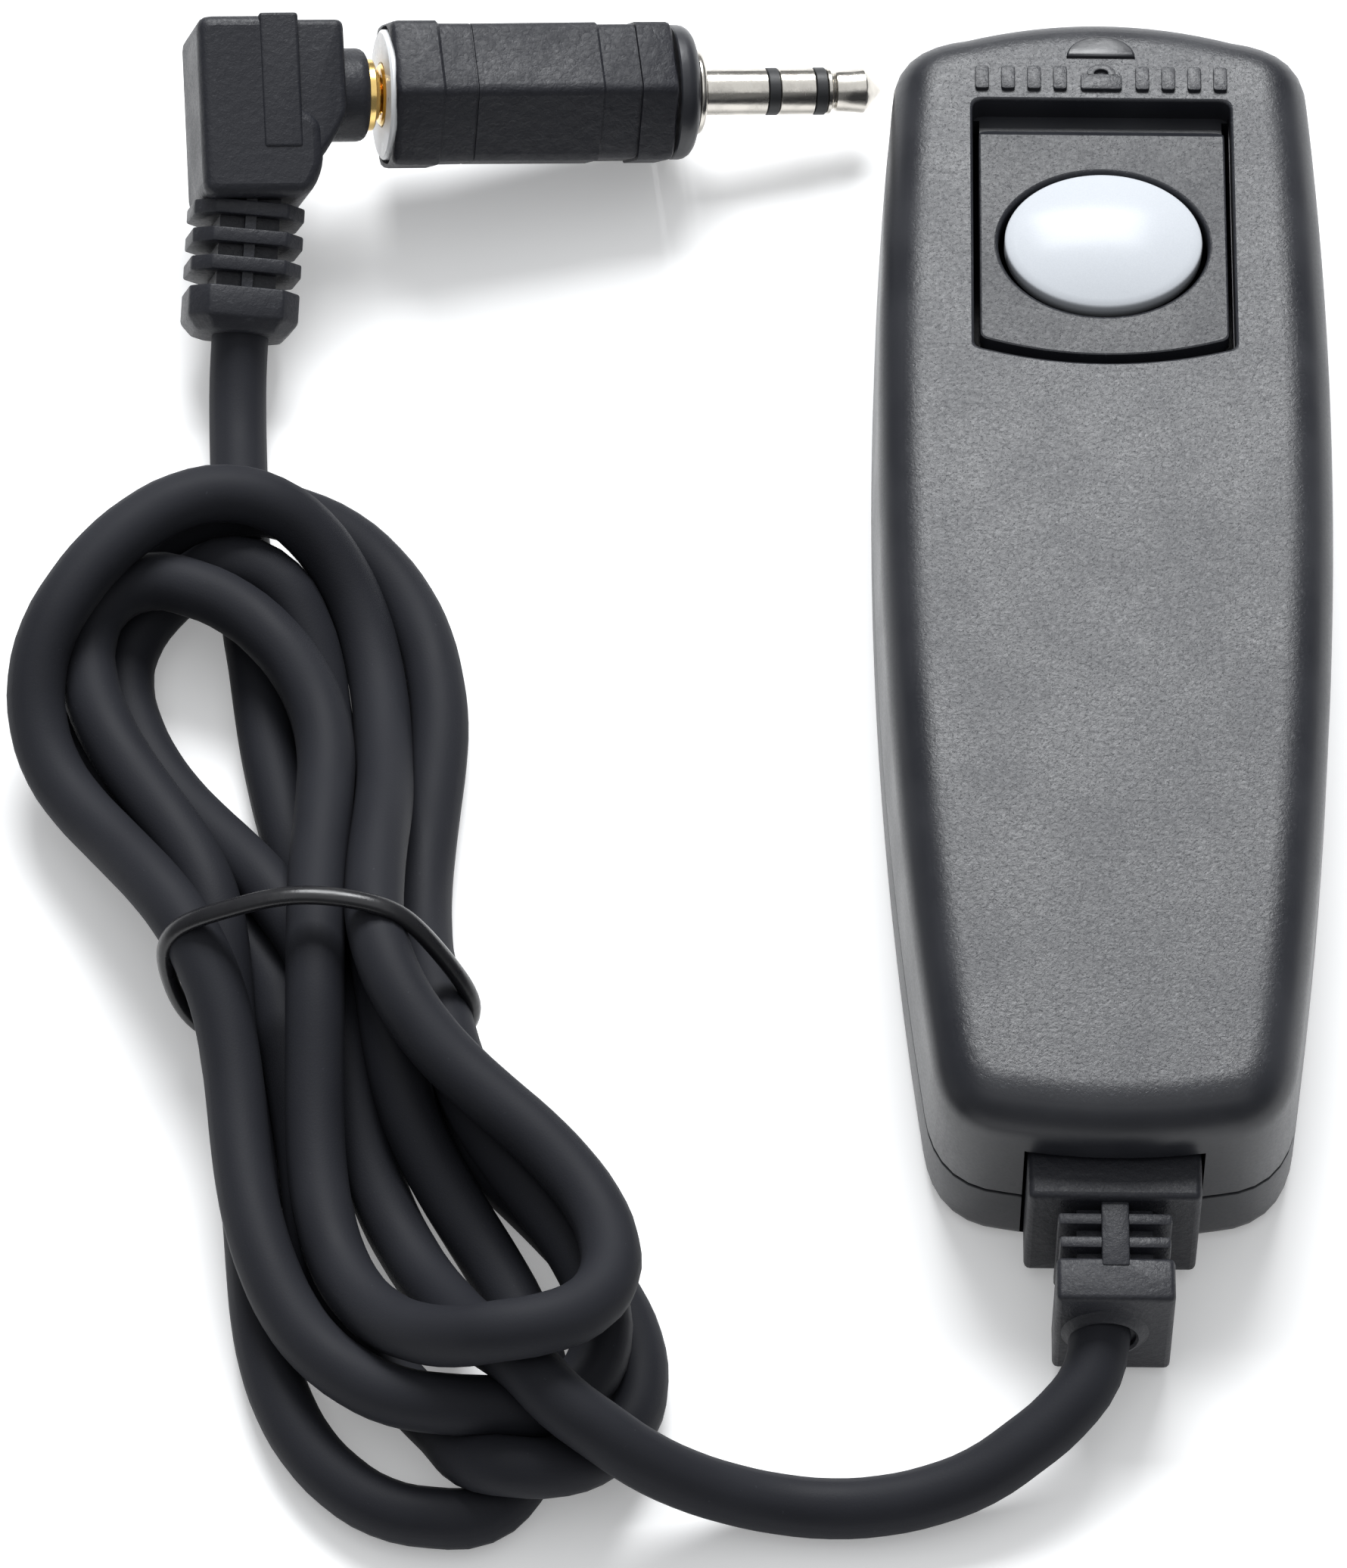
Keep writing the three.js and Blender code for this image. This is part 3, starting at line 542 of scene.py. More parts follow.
def lacquer(name, color, tint, roughness):
    """A glossy silver lacquer over plastic."""
    material, tree = shader(name, color, roughness, specular=0.15)
    spot = position(tree)
    flakes = noise(tree, spot, 0.12, 3.0, 0.7)
    paint(tree, spread(tree, flakes, 0.3, 0.7, 0.0, 1.0), color, tint)
    feed(tree, "Roughness", spread(tree, flakes, 0.3, 0.7, roughness - 0.04, roughness + 0.06))
    bump(tree, noise(tree, spot, 3.5, 1.0), 0.02)
    return material


def metal(name, color, roughness):
    """Plated metal with fine turning marks and a little handling haze."""
    material, tree = shader(name, color, roughness, 1.0)
    spot = position(tree)
    marks = noise(tree, spot, 0.12, 3.0, 0.6)
    haze = noise(tree, spot, 1.6, 3.0, 0.6)
    dull = [c * 0.8 for c in color]
    paint(tree, spread(tree, haze, 0.45, 0.75, 0.0, 1.0), color, dull)
    roughen(tree, roughness, marks, 0.04, 0.05, haze, 0.4, 0.7, 0.0, 0.1)
    bump(tree, marks, 0.004)
    return material


def gloss_plastic(name, color, light, roughness):
    """A smooth moulding with faint flow lines and a little dust."""
    material, tree = shader(name, color, roughness)
    spot = position(tree)
    dust = spread(tree, noise(tree, spot, 0.25, 2.0, 0.5), 0.7, 0.8, 0.0, 0.5)
    flow = noise(tree, spot, 2.5, 2.0)
    paint(tree, dust, color, light)
    feed(tree, "Roughness", spread(tree, flow, 0.3, 0.7, roughness - 0.04, roughness + 0.07))
    bump(tree, noise(tree, spot, 0.5, 3.0), 0.012)
    return material


def floor_paint():
    """White paint that also shines a little, so that the floor stays white in the shade."""
    material, tree = shader("floor_paint", (0.9, 0.9, 0.9), 0.75, specular=0.2)
    surface = tree.nodes["Principled BSDF"].inputs
    surface["Emission Color"].default_value = (1, 1, 1, 1)
    surface["Emission Strength"].default_value = 0.25
    paint(tree, noise(tree, position(tree), 90.0, 1.0), (0.89, 0.89, 0.89), (0.91, 0.91, 0.91))
    return material


SHELL = spark_plastic("shell_plastic", (0.013, 0.014, 0.0185), (0.05, 0.052, 0.06), roughness=0.4, grain=0.5,
                      depth=0.055, flat_z=THICKNESS, specular=0.5)
SLIDE = spark_plastic("slide_plastic", (0.011, 0.012, 0.016), (0.04, 0.042, 0.049), roughness=0.42, grain=0.5,
                      depth=0.045, flat_z=SLIDE_TOP, specular=0.38)
SILVER = lacquer("silver_lacquer", (0.525, 0.55, 0.585), (0.57, 0.595, 0.63), 0.2)
INNER = gloss_plastic("inner_plastic", (0.018, 0.019, 0.021), (0.05, 0.05, 0.055), 0.45)
CORD = sheath_plastic("cord_sheath", (0.017, 0.0177, 0.0222), (0.037, 0.039, 0.046), 0.62)
OVERMOULD = leather_plastic("overmould", (0.0145, 0.0153, 0.0203), (0.045, 0.047, 0.054), 0.48, 0.6, 0.05)
ADAPTOR_SKIN = leather_plastic("adaptor_plastic", (0.0135, 0.0142, 0.0192), (0.045, 0.047, 0.054), 0.5,
                               1.1, 0.09)
NOSE = gloss_plastic("adaptor_nose_plastic", (0.021, 0.022, 0.027), (0.035, 0.036, 0.042), 0.36)
TIE = gloss_plastic("tie_plastic", (0.010, 0.010, 0.012), (0.04, 0.04, 0.045), 0.28)
NICKEL = metal("nickel", (0.62, 0.59, 0.54), 0.17)
GOLD = metal("gold", (0.86, 0.6, 0.22), 0.16)
PALE = gloss_plastic("pale_ring", (0.86, 0.87, 0.88), (0.92, 0.92, 0.93), 0.3)
MARK = gloss_plastic("raised_marks", (0.02, 0.021, 0.025), (0.05, 0.05, 0.055), 0.3)
STEEL = metal("zinc_steel", (0.5, 0.51, 0.53), 0.32)
WIRES = {
    "wire_common": gloss_plastic("wire_black", (0.02, 0.02, 0.02), (0.06, 0.06, 0.06), 0.4),
    "wire_focus": gloss_plastic("wire_white", (0.7, 0.69, 0.66), (0.8, 0.8, 0.78), 0.4),
    "wire_shutter": gloss_plastic("wire_red", (0.4, 0.03, 0.025), (0.5, 0.08, 0.07), 0.4),
}


def dress(obj, material, body, slot, *nodes):
    """Gives a new piece its material and its body, and hides the CAD nodes that it stands for. The slot is
    not used.
    """
    obj.data.materials.clear()
    obj.data.materials.append(material)
    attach(obj, body)
    if nodes:
        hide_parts(*nodes)
    return obj


# Camera, floor and light.
def camera():
    data = bpy.data.cameras.new("camera")
    data.sensor_width = 36
    data.lens = 205
    data.clip_start = 0.05
    data.clip_end = 20
    obj = link(bpy.data.objects.new("camera", data))
    place = Vector((-26.49, -349.10, 542.75)) * M
    aim = Vector((-30.63, -9.975, 0)) * M
    obj.location = place
    obj.rotation_euler = (aim - place).to_track_quat("-Z", "Y").to_euler()
    bpy.context.scene.camera = obj


def floor():
    bm = bmesh.new()
    bmesh.ops.create_grid(bm, x_segments=8, y_segments=8, size=3.0)
    obj = mesh_object("floor", bm)
    obj.location = (-0.03, 0, 0)
    obj.data.materials.append(floor_paint())


def area_light(name, place, width, height, power):
    data = bpy.data.lights.new(name, "AREA")
    data.shape = "RECTANGLE"
    data.size = width
    data.size_y = height
    data.energy = power
    data.color = (0.97, 0.985, 1)
    obj = link(bpy.data.objects.new(name, data))
    obj.location = place
    obj.rotation_euler = (Vector((-0.02, 0, 0)) - Vector(place)).to_track_quat("-Z", "Y").to_euler()


def lights():
    world = bpy.data.worlds.new("studio")
    world.use_nodes = True
    background = world.node_tree.nodes["Background"]
    background.inputs["Color"].default_value = (0.96, 0.98, 1, 1)
    background.inputs["Strength"].default_value = 0.22
    bpy.context.scene.world = world
    bpy.context.scene.view_settings.view_transform = "Standard"
    area_light("back_softbox", (-0.03, 0.56, 0.67), 0.46, 0.36, 10)
    area_light("overhead", (-0.02, -0.12, 1.25), 1.6, 1.6, 6.4)


# Cord.
def ground(points):
    """Lowest height of the cord's centre line, which the tie lifts at the hank's waist."""
    away = np.abs(points[:, 1] - WAIST_Y)
    lift = 2 * TIE_RADIUS * np.clip(1 - (away - WAIST_FLAT) / WAIST_FADE, 0, 1)
    beside = (points[:, 0] > WAIST_SIDES[0]) & (points[:, 0] < WAIST_SIDES[1])
    return CORD_RADIUS + lift * beside


def neighbour_bend(points, reach):
    """How far each point's bend differs from the bends a little before and after it."""
    bend = np.zeros_like(points)
    bend[reach:-reach] = 0.5 * (points[: -2 * reach] + points[2 * reach :]) - points[reach:-reach]
    out = np.zeros_like(points)
    inner = slice(2 * reach, -2 * reach)
    out[inner] = bend[inner] - 0.5 * (bend[reach : -3 * reach] + bend[3 * reach : -reach])
    return out


def settle(points):
    """Strands push each other apart, lie on the ground and keep their bends even, near the listed route."""
    target = points.copy()
    count = len(points)
    held = np.zeros(count, bool)
    held[: int(LEAD_LENGTH / CORD_STEP)] = True
    held[-int(PLUG_LEAD_LENGTH / CORD_STEP) - 1 :] = True
    reach = 2.02 * CORD_RADIUS
    first, second = np.triu_indices(count, int(math.ceil(2.2 * reach / CORD_STEP)))
    for step in range(SETTLE_STEPS):
        calm = step > SETTLE_STEPS * CALM_FROM
        if step % 5 == 0:
            apart = points[first] - points[second]
            near = (apart * apart).sum(axis=1) < (reach + NEAR) ** 2
            a, b = first[near], second[near]
        apart = points[a] - points[b]
        distance = np.linalg.norm(apart, axis=1) + 1e-9
        hit = distance < reach
        move = apart[hit] / distance[hit][:, None] * (reach - distance[hit])[:, None] * 0.5
        push = np.zeros_like(points)
        hits = np.zeros(count)
        for side, sign in ((a[hit], 1), (b[hit], -1)):
            np.add.at(push, side, sign * move)
            np.add.at(hits, side, 1)
        push /= np.sqrt(np.maximum(hits, 1))[:, None]
        new = points + push
        along = np.zeros_like(points)
        along[1:-1] = points[2:] - points[:-2]
        along /= np.linalg.norm(along, axis=1)[:, None] + 1e-9
        uneven = np.zeros_like(points)
        uneven[1:-1] = 0.5 * (new[:-2] + new[2:]) - new[1:-1]
        new += 0.4 * (uneven * along).sum(axis=1)[:, None] * along
        for width, share in ((1, EVEN_SHORT), (4, EVEN_LONG[calm])):
            bend = neighbour_bend(new, width)
            new += share * (bend - (bend * along).sum(axis=1)[:, None] * along)
        new[:, :2] += HOMING[calm] * (target[:, :2] - new[:, :2])
        new[:, 2] -= SINKING[calm]
        new[:, 2] = np.maximum(new[:, 2], ground(new))
        new[held] = points[held]
        points = new
    return points


def cord_line():
    """The listed route, its right side drawn in by the tie at the waist, and settled."""
    typed = [point for strand in STRANDS.values() for point in strand]
    line = spaced(spline(typed), CORD_STEP)
    x, y = line[:, 0], line[:, 1]
    right = np.clip(x - WAIST_X, 0, WAIST_REACH)
    line[:, 0] -= WAIST_PULL * np.exp(-(((y - WAIST_Y) / WAIST_REACH) ** 2)) * right
    return settle(line)


def cable(line):
    data = bpy.data.curves.new("cable", "CURVE")
    data.dimensions = "3D"
    data.bevel_depth = CORD_RADIUS * M
    data.bevel_resolution = 6
    data.resolution_u = 3
    data.use_fill_caps = True
    spots = spaced(line, 3.5)
    thread = data.splines.new("BEZIER")
    thread.bezier_points.add(len(spots) - 1)
    for knot, spot in zip(thread.bezier_points, spots):
        knot.co = Vector(spot) * M
        knot.handle_left_type = "AUTO"
        knot.handle_right_type = "AUTO"
    obj = link(bpy.data.objects.new("cable", data))
    return dress(obj, CORD, "root", "cord_plastic", "cable_body_lead", "cable_hank", "cable_plug_lead")


def hull(points):
    """Corners of the convex hull, counterclockwise from the leftmost."""
    corners = [points[i] for i in convex_hull_2d(points)]
    start = corners.index(min(corners))
    return corners[start:] + corners[:start]


def tie_loop(line, lean, normal):
    """The tie's middle line in its own leaning plane: a string round the strands and over an arch on top."""
    heights = [(Vector(p) - TIE_FOOT).dot(normal) for p in line]
    wide = CORD_RADIUS + TIE_RADIUS + 0.05
    rim = []
    for i in range(len(line) - 1):
        if heights[i] * heights[i + 1] < 0:
            t = heights[i] / (heights[i] - heights[i + 1])
            spot = Vector(line[i]).lerp(Vector(line[i + 1]), t) - TIE_FOOT
            if abs(spot.x) < TIE_REACH:
                for angle in [2 * math.pi * k / 24 for k in range(24)]:
                    rim.append((spot.x + wide * math.cos(angle), spot.dot(lean) + wide * math.sin(angle)))
    left = min(x for x, y in rim)
    right = max(x for x, y in rim)
    arch = max(y for x, y in rim) + 0.5 - ARCH_FOOT
    for angle in [math.pi * k / 24 for k in range(25)]:
        reach = (right - left) / 2 * math.cos(angle)
        rim.append(((left + right) / 2 + ARCH_SHARE * reach, ARCH_FOOT + arch * math.sin(angle)))
    corners = hull(rim)
    loop = spaced(np.array([(x, y, 0) for x, y in corners + corners[:1]]), 0.6)[:-1]
    for _ in range(14):
        loop = 0.25 * np.roll(loop, 1, axis=0) + 0.5 * loop + 0.25 * np.roll(loop, -1, axis=0)
    return [(x, max(y, TIE_RADIUS * 1.08)) for x, y, _ in loop]


def tie(line):
    """A thin flat band tight round the waist of the hank, its upper side leaning towards the button end."""
    lean = Vector((0, 4.4, 12.4)).normalized()
    across = Vector((1, -0.06, 0)).normalized()
    normal = across.cross(lean)
    path = [TIE_FOOT + across * x + lean * y for x, y in tie_loop(line, lean, normal)]
    wide, thick, sides = TIE_RADIUS * 1.25, TIE_RADIUS * 0.95, 14
    bm = bmesh.new()
    rows = []
    for i, spot in enumerate(path):
        along = (path[(i + 1) % len(path)] - path[i - 1]).normalized()
        out = normal.cross(along)
        row = []
        for angle in [2 * math.pi * k / sides for k in range(sides)]:
            offset = normal * (wide * math.cos(angle)) + out * (thick * math.sin(angle))
            row.append(bm.verts.new((spot + offset) * M))
        rows.append(row)
    for low, high in zip(rows, rows[1:] + rows[:1]):
        for k in range(sides):
            n = (k + 1) % sides
            bm.faces.new((low[k], low[n], high[n], high[k]))
    return dress(smooth(mesh_object("tie_band", bm), 60), TIE, "root", "tie_plastic", "cable_tie")


# Switch.
def half_width(y):
    return WIDTH / 2 - SIDE_BOW * (y - WIDEST_Y) ** 2


def head_edge(x):
    return LENGTH / 2 - x**2 / (2 * HEAD_ARC)


def tail_edge(x):
    return -LENGTH / 2 + x**2 / (2 * TAIL_ARC)


def curve(start, corner, end, steps):
    """Points of a quadratic curve, without its first one."""
    start, corner, end = Vector(start), Vector(corner), Vector(end)
    out = []
    for step in range(1, steps + 1):
        t = step / steps
        out.append(tuple(start * (1 - t) ** 2 + corner * (2 * t * (1 - t)) + end * t**2))
    return out


def body_outline():
    """The switch seen from above, counterclockwise from the middle of its tail, with evenly spaced points."""
    side_low, side_high, tail_x, head_x = -40.5, 41, 7.6, 9.9
    right = [(tail_x * i / 8, tail_edge(tail_x * i / 8)) for i in range(9)]
    tail_corner = (half_width(side_low - 4), tail_edge(tail_x) + 0.5)
    head_corner = (half_width(side_high + 4), head_edge(head_x) - 0.8)
    right += curve((tail_x, tail_edge(tail_x)), tail_corner, (half_width(side_low), side_low), 24)
    right += [(half_width(y), y) for y in np.linspace(side_low, side_high, 41)[1:]]
    right += curve((half_width(side_high), side_high), head_corner, (head_x, head_edge(head_x)), 24)
    right += [(head_x * i / 9, head_edge(head_x * i / 9)) for i in range(8, -1, -1)]
    even = spaced(np.array([(x, y, 0) for x, y in right]), 1.25)
    right = [(x, y) for x, y, _ in even]
    return right + [(-x, y) for x, y in right[-2:0:-1]]


OUTLINE = body_outline()


def ring(inset, z):
    """The body's outline moved inwards, at one height."""
    out = []
    for i, (x, y) in enumerate(OUTLINE):
        after, before = OUTLINE[(i + 1) % len(OUTLINE)], OUTLINE[i - 1]
        along = (Vector(after) - Vector(before)).normalized()
        out.append((x - along.y * inset, y + along.x * inset, z))
    return out


def recess(grow, head_y=RECESS_HEAD_Y, half=RECESS_HALF, lower=0.0):
    """The recess seen from above, grown by a margin. Its tail edge is an arc."""
    side_y = RECESS_SIDE_Y + lower - grow
    tail_y = RECESS_TAIL_Y + lower - grow
    half += grow
    head_y += grow
    corners = [(half, side_y), (half, head_y), (-half, head_y), (-half, side_y)]
    head = rounded(corners, 0.9, 5)[6:18]  # only the second and the third corner
    turn_y = side_y + 0.5
    edge_x, edge_y = half - 0.7, side_y - 0.15
    left = curve((-half, turn_y), (-half, side_y), (-edge_x, edge_y), 4)
    edge = curve((-edge_x, edge_y), (0, 2 * tail_y - side_y), (edge_x, edge_y), 14)
    right = curve((edge_x, edge_y), (half, side_y), (half, turn_y), 4)
    return head + [(-half, turn_y)] + left + edge + right


def oval(a, b, z):
    angles = [2 * math.pi * i / 72 for i in range(72)]
    return [(a * math.cos(t), BUTTON_Y + b * math.sin(t), z) for t in angles]


def tail_notch():
    return box("notch", (-6.2, -LENGTH / 2 - 2, 0.7), (6.2, -LENGTH / 2 + 5, 12.1))


def shell_top():
    low = PARTING_Z + GAP / 2
    draft = 0.25
    edge_z = THICKNESS - EDGE_RADIUS
    ceiling = THICKNESS - WALL
    slab_bottom = RECESS_FLOOR - SLAB
    rings = [ring(0.15, low), ring(0.03, low + 0.05), ring(0, low + 0.2), ring(draft, edge_z)]
    for step in range(1, 11):
        angle = step * math.pi / 20
        inset = draft + EDGE_WIDTH * (1 - math.cos(angle))
        rings.append(ring(inset, edge_z + EDGE_RADIUS * math.sin(angle)))
    rings.append(ring(draft + EDGE_WIDTH + 0.15, THICKNESS))
    shell = loft("shell_top", rings)
    lip = 0.95
    cavity = loft("cavity", [ring(lip, low - 1), ring(lip, low + lip), ring(WALL, low + lip),
                             ring(WALL + draft, edge_z - 1), ring(WALL + 2, ceiling)])
    half = RECESS_HALF + 2
    y0, y1 = RECESS_TAIL_Y - 1.7, RECESS_HEAD_Y + 2.1
    cut(cavity, box("slab", (-half, y0, slab_bottom), (half, y1, THICKNESS)))
    for x, y in SCREWS:
        here = Matrix.Translation((x, y, 0))
        cup = [[0, 13], [1.2, 13], [1.2, low], [2.6, low], [2.6, THICKNESS], [0, THICKNESS]]
        cut(cavity, turned("boss", cup, here, 24, "Z"))
    cut(shell, cavity)
    flare = [(0, RECESS_FLOOR), (0, THICKNESS - 0.2), (0.03, THICKNESS - 0.12), (0.1, THICKNESS - 0.05),
             (0.2, THICKNESS + 0.001), (0.9, THICKNESS + 0.5)]
    cut(shell, loft("recess", [at_height(recess(grow), z) for grow, z in flare]))
    for side in (-1, 1):
        x0, x1 = sorted((side * (RECESS_HALF - 0.55), side * (RECESS_HALF - 0.04)))
        y0, y1 = RECESS_SIDE_Y + 0.6, RECESS_HEAD_Y - 0.4
        cut(shell, box("slot", (x0, y0, slab_bottom - 1), (x1, y1, RECESS_FLOOR + 0.6)))
    cut(shell, box("window", (-7.7, 18.7, slab_bottom - 1), (7.7, 35.9, THICKNESS)))
    cut(shell, tail_notch())
    return dress(smooth(shell), SHELL, "root", "shell_plastic", "upper_shell")


def shell_base():
    high = PARTING_Z - GAP / 2
    rim = 1.6
    angles = [step * math.pi / 12 for step in range(7)]
    rings = [ring(rim + 0.6, 0)]
    rings += [ring(rim * (1 - math.sin(a)), rim * (1 - math.cos(a))) for a in angles]
    rings += [ring(0, high - 0.2), ring(0.03, high - 0.05), ring(0.15, high)]
    rings += [ring(1.1, high), ring(1.1, high + 0.9)]
    base = loft("shell_base", rings)
    hollow = [ring(WALL + 0.6, WALL), ring(WALL, WALL + 0.6), ring(WALL, high + 2)]
    cavity = loft("cavity", hollow)
    for x, y in SCREWS:
        here = Matrix.Translation((x, y, 0))
        tube = [[1.2, 1], [3.2, 1], [3.2, high], [1.2, high], [1.2, 1]]
        cut(cavity, turned("boss", tube, here, 26, "Z"))
    cut(base, cavity)
    for x, y in SCREWS:
        here = Matrix.Translation((x, y, 0))
        bore = [[0, -1], [3.3, -1], [2.7, 0.02], [2.5, 0.2], [2.5, 2], [0, 2]]
        cut(base, turned("bore", bore, here, 38, "Z"))
    panel = rounded([(9, -26), (9, 22), (-9, 22), (-9, -26)], 1.5)
    cut(base, prism("panel", panel, -1, 0.25))
    cut(base, tail_notch())
    return dress(smooth(base), SHELL, "root", "shell_plastic", "lower_shell")


def shell_screw(number, x, y):
    """A pan head screw with a cross recess, its head downwards."""
    here = Matrix.Translation((x, y, 0))
    profile = [[0, 0.4], [1.3, 0.42], [1.8, 0.55], [2.03, 0.8], [2.1, 1.1], [2.1, 1.7], [0.9, 1.7],
               [0.9, 11.2], [0.5, 11.8], [0, 12.1]]
    screw = turned(f"screw_{number}", profile, here, 40, "Z")
    for low, high in (((-1.15, -0.2, 0), (1.15, 0.2, 1.1)), ((-0.2, -1.15, 0), (0.2, 1.15, 1.1))):
        cut(screw, box("slot", low, high, here))
    return dress(smooth(screw), STEEL, "root", "steel", f"shell_screw_{number}")


def lock_plate():
    """The sliding plate round the button, with four legs that hook under the recess floor."""
    low = SLIDE_TOP - SLIDE_THICK
    play = 0.45
    head = RECESS_HEAD_Y - SLIDE_TRAVEL - GAP
    half = RECESS_HALF - play
    top = SLIDE_TOP
    steps = [(-0.1, low), (0, low + 0.1), (0, top - 0.15), (-0.04, top - 0.05), (-0.15, top)]
    plate = loft("lock_plate", [at_height(recess(grow, head, half, 1), z) for grow, z in steps])
    slope = [(head + 1, top + 0.3), (head + 1, top - 0.9), (head, top - 0.62), (head - 0.75, top)]
    turn = Matrix(((0, 0, 1, 0), (1, 0, 0, 0), (0, 1, 0, 0), (0, 0, 0, 1)))
    cut(plate, prism("slope", slope, -half - 1, half + 1, turn))
    rim = [(0, low - 1), (0, top - 0.28), (0.05, top - 0.12), (0.16, top - 0.03), (0.3, top + 0.001),
           (0.8, top + 0.4)]
    cut(plate, loft("opening", [oval(OPENING_A + grow, OPENING_B + grow, z) for grow, z in rim]))
    hook_top = RECESS_FLOOR - SLAB - GAP
    stand = Matrix(((1, 0, 0, 0), (0, 0, 1, 0), (0, 1, 0, 0), (0, 0, 0, 1)))
    leg = [(6.5, hook_top - 0.9), (7.85, hook_top - 0.9), (8.5, hook_top - 0.45), (8.5, hook_top),
           (7.4, hook_top), (7.4, low + 0.2), (6.5, low + 0.2)]
    for side in (-1, 1):
        outline = [(side * x, z) for x, z in leg]
        for y in (BUTTON_Y - 5.4, BUTTON_Y + 5.4):
            add(plate, prism("leg", outline, y - 0.8, y + 0.8, stand))
    return dress(smooth(plate), SLIDE, "lock", "slide_plastic", "lock_slide")


def release_button():
    low = SLIDE_TOP - SLIDE_THICK + GAP
    rim = SLIDE_TOP + 0.18
    dome = 1.12
    a = BUTTON_A
    profile = [[0, low], [a - 0.3, low], [a, low + 0.25], [a, rim], [a - 0.03, rim + 0.12],
               [a - 0.1, rim + 0.21], [a - 0.22, rim + 0.27]]
    for share in (0.94, 0.9, 0.85, 0.8, 0.73, 0.65, 0.55, 0.45, 0.35, 0.25, 0.15, 0.07, 0):
        profile.append([a * share, rim + 0.25 + dome * (1 - share**2)])
    here = Matrix.Translation((0, BUTTON_Y, 0))
    button = turned("release_button", profile, here, 96, "Z", BUTTON_B / BUTTON_A)
    return dress(smooth(button, 50), SILVER, "button", "silver_plastic", "button_cap")


def lock_pointer():
    """A raised half moon over the recess, its flat edge towards the slide."""
    angles = [math.pi * i / 20 for i in range(21)]
    rows = []
    for inset, rise in ((0, -0.6), (0, 0.12), (0.05, 0.2), (0.2, 0.25)):
        wide, deep, flat_y = 2.5 - inset, 1.85 - 2 * inset, 42.7 + inset
        rows.append([(wide * math.cos(t), flat_y + deep * math.sin(t), THICKNESS + rise) for t in angles])
    return smooth(loft("lock_pointer", rows), 50)


def padlock_mark():
    """A plain padlock between two rows of short ribs, raised where the slide's lock direction is marked."""
    top = THICKNESS + 0.3
    low = THICKNESS - 0.5
    y = 40.75
    body = rounded([(1.5, y - 1.05), (1.5, y + 0.3), (-1.5, y + 0.3), (-1.5, y - 1.05)], 0.25)
    parts = [prism("lock_body", body, low, top)]
    turns = np.linspace(-0.35, math.pi + 0.35, 15)
    outer = [(1.05 * math.cos(t), y + 0.35 + 0.85 * math.sin(t)) for t in turns]
    inner = [(0.5 * math.cos(t), y + 0.35 + 0.36 * math.sin(t)) for t in turns[::-1]]
    parts.append(prism("shackle", outer + inner, low, top))
    for side in (-1, 1):
        for i in range(4):
            x = side * (3 + 1.9 * i)
            bar = [(x - 0.5, y - 1.05), (x + 0.5, y - 1.05), (x + 0.5, y + 1), (x - 0.5, y + 1)]
            parts.append(prism("rib", rounded(bar, 0.25, 3), low, top))
    return joined("padlock_mark", [soften(part, 0.07, 50) for part in parts])


def switch_marks():
    dress(smooth(padlock_mark(), 40), SHELL, "root", "shell_plastic")
    dress(lock_pointer(), MARK, "root", "shell_plastic")


def tail_relief():
    """The strain relief that the shells' notch holds: flange, block, ribs on a spine, and an end block."""
    relief = soften(box("tail_relief", (-7, -43.1, 2.2), (7, -41.7, 12.2)), 0.2)
    pieces = [soften(box("block", (-5.95, -50.1, 1.2), (5.95, -42.7, 11.6)), 0.45, segments=3),
              box("core", (-2.6, -55, 2.9), (2.6, -49, 9.8)),
              soften(box("spine", (-0.95, -55, 1.7), (0.95, -47, 11)), 0.15)]
    for low_y, half in ((-51.7, 3.9), (-53.5, 3.8)):
        pieces.append(soften(box("rib", (-half, low_y, 1.8), (half, low_y + 0.9, 10.75)), 0.2))
    pieces.append(soften(box("end", (-4.05, -57.6, 0.9), (4.05, -54.3, 10.9)), 0.4, segments=3))
    for piece in pieces:
        add(relief, piece)
    stand = Matrix.Translation((-0.6, 0, 6.1)) @ Matrix.Rotation(-math.pi / 2, 4, "Z")
    mouth = [[2.12, 56.8], [2.12, 57.95], [2.3, 58.1], [2.55, 58.0], [2.8, 57.75], [3.1, 57.55], [3.1, 56.8],
             [2.12, 56.8]]
    collar = turned("collar", mouth, stand, 48)
    return dress(smooth(joined("tail_relief", [relief, collar])), OVERMOULD, "root", "overmould",
                 "body_strain_relief")


# Plug.
def rib_plate(name, low_y, high_y, place, taper=0.0):
    """A plate square to the cable with chamfered corners, tapered at its cable end."""
    half_x, half_z, chamfer = 4.1, 3.4, 1.4

    def corners(inset):
        x, z, c = half_x - inset, half_z - inset, chamfer - 0.4 * inset
        return [(x, z - c), (x - c, z), (c - x, z), (-x, z - c),
                (-x, c - z), (c - x, -z), (x - c, -z), (x, c - z)]

    rows = [(taper, low_y), (0, low_y + taper * 1.2), (0, high_y)] if taper else [(0, low_y), (0, high_y)]
    return loft(name, [[(x, y, z) for x, z in corners(inset)] for inset, y in rows], place)


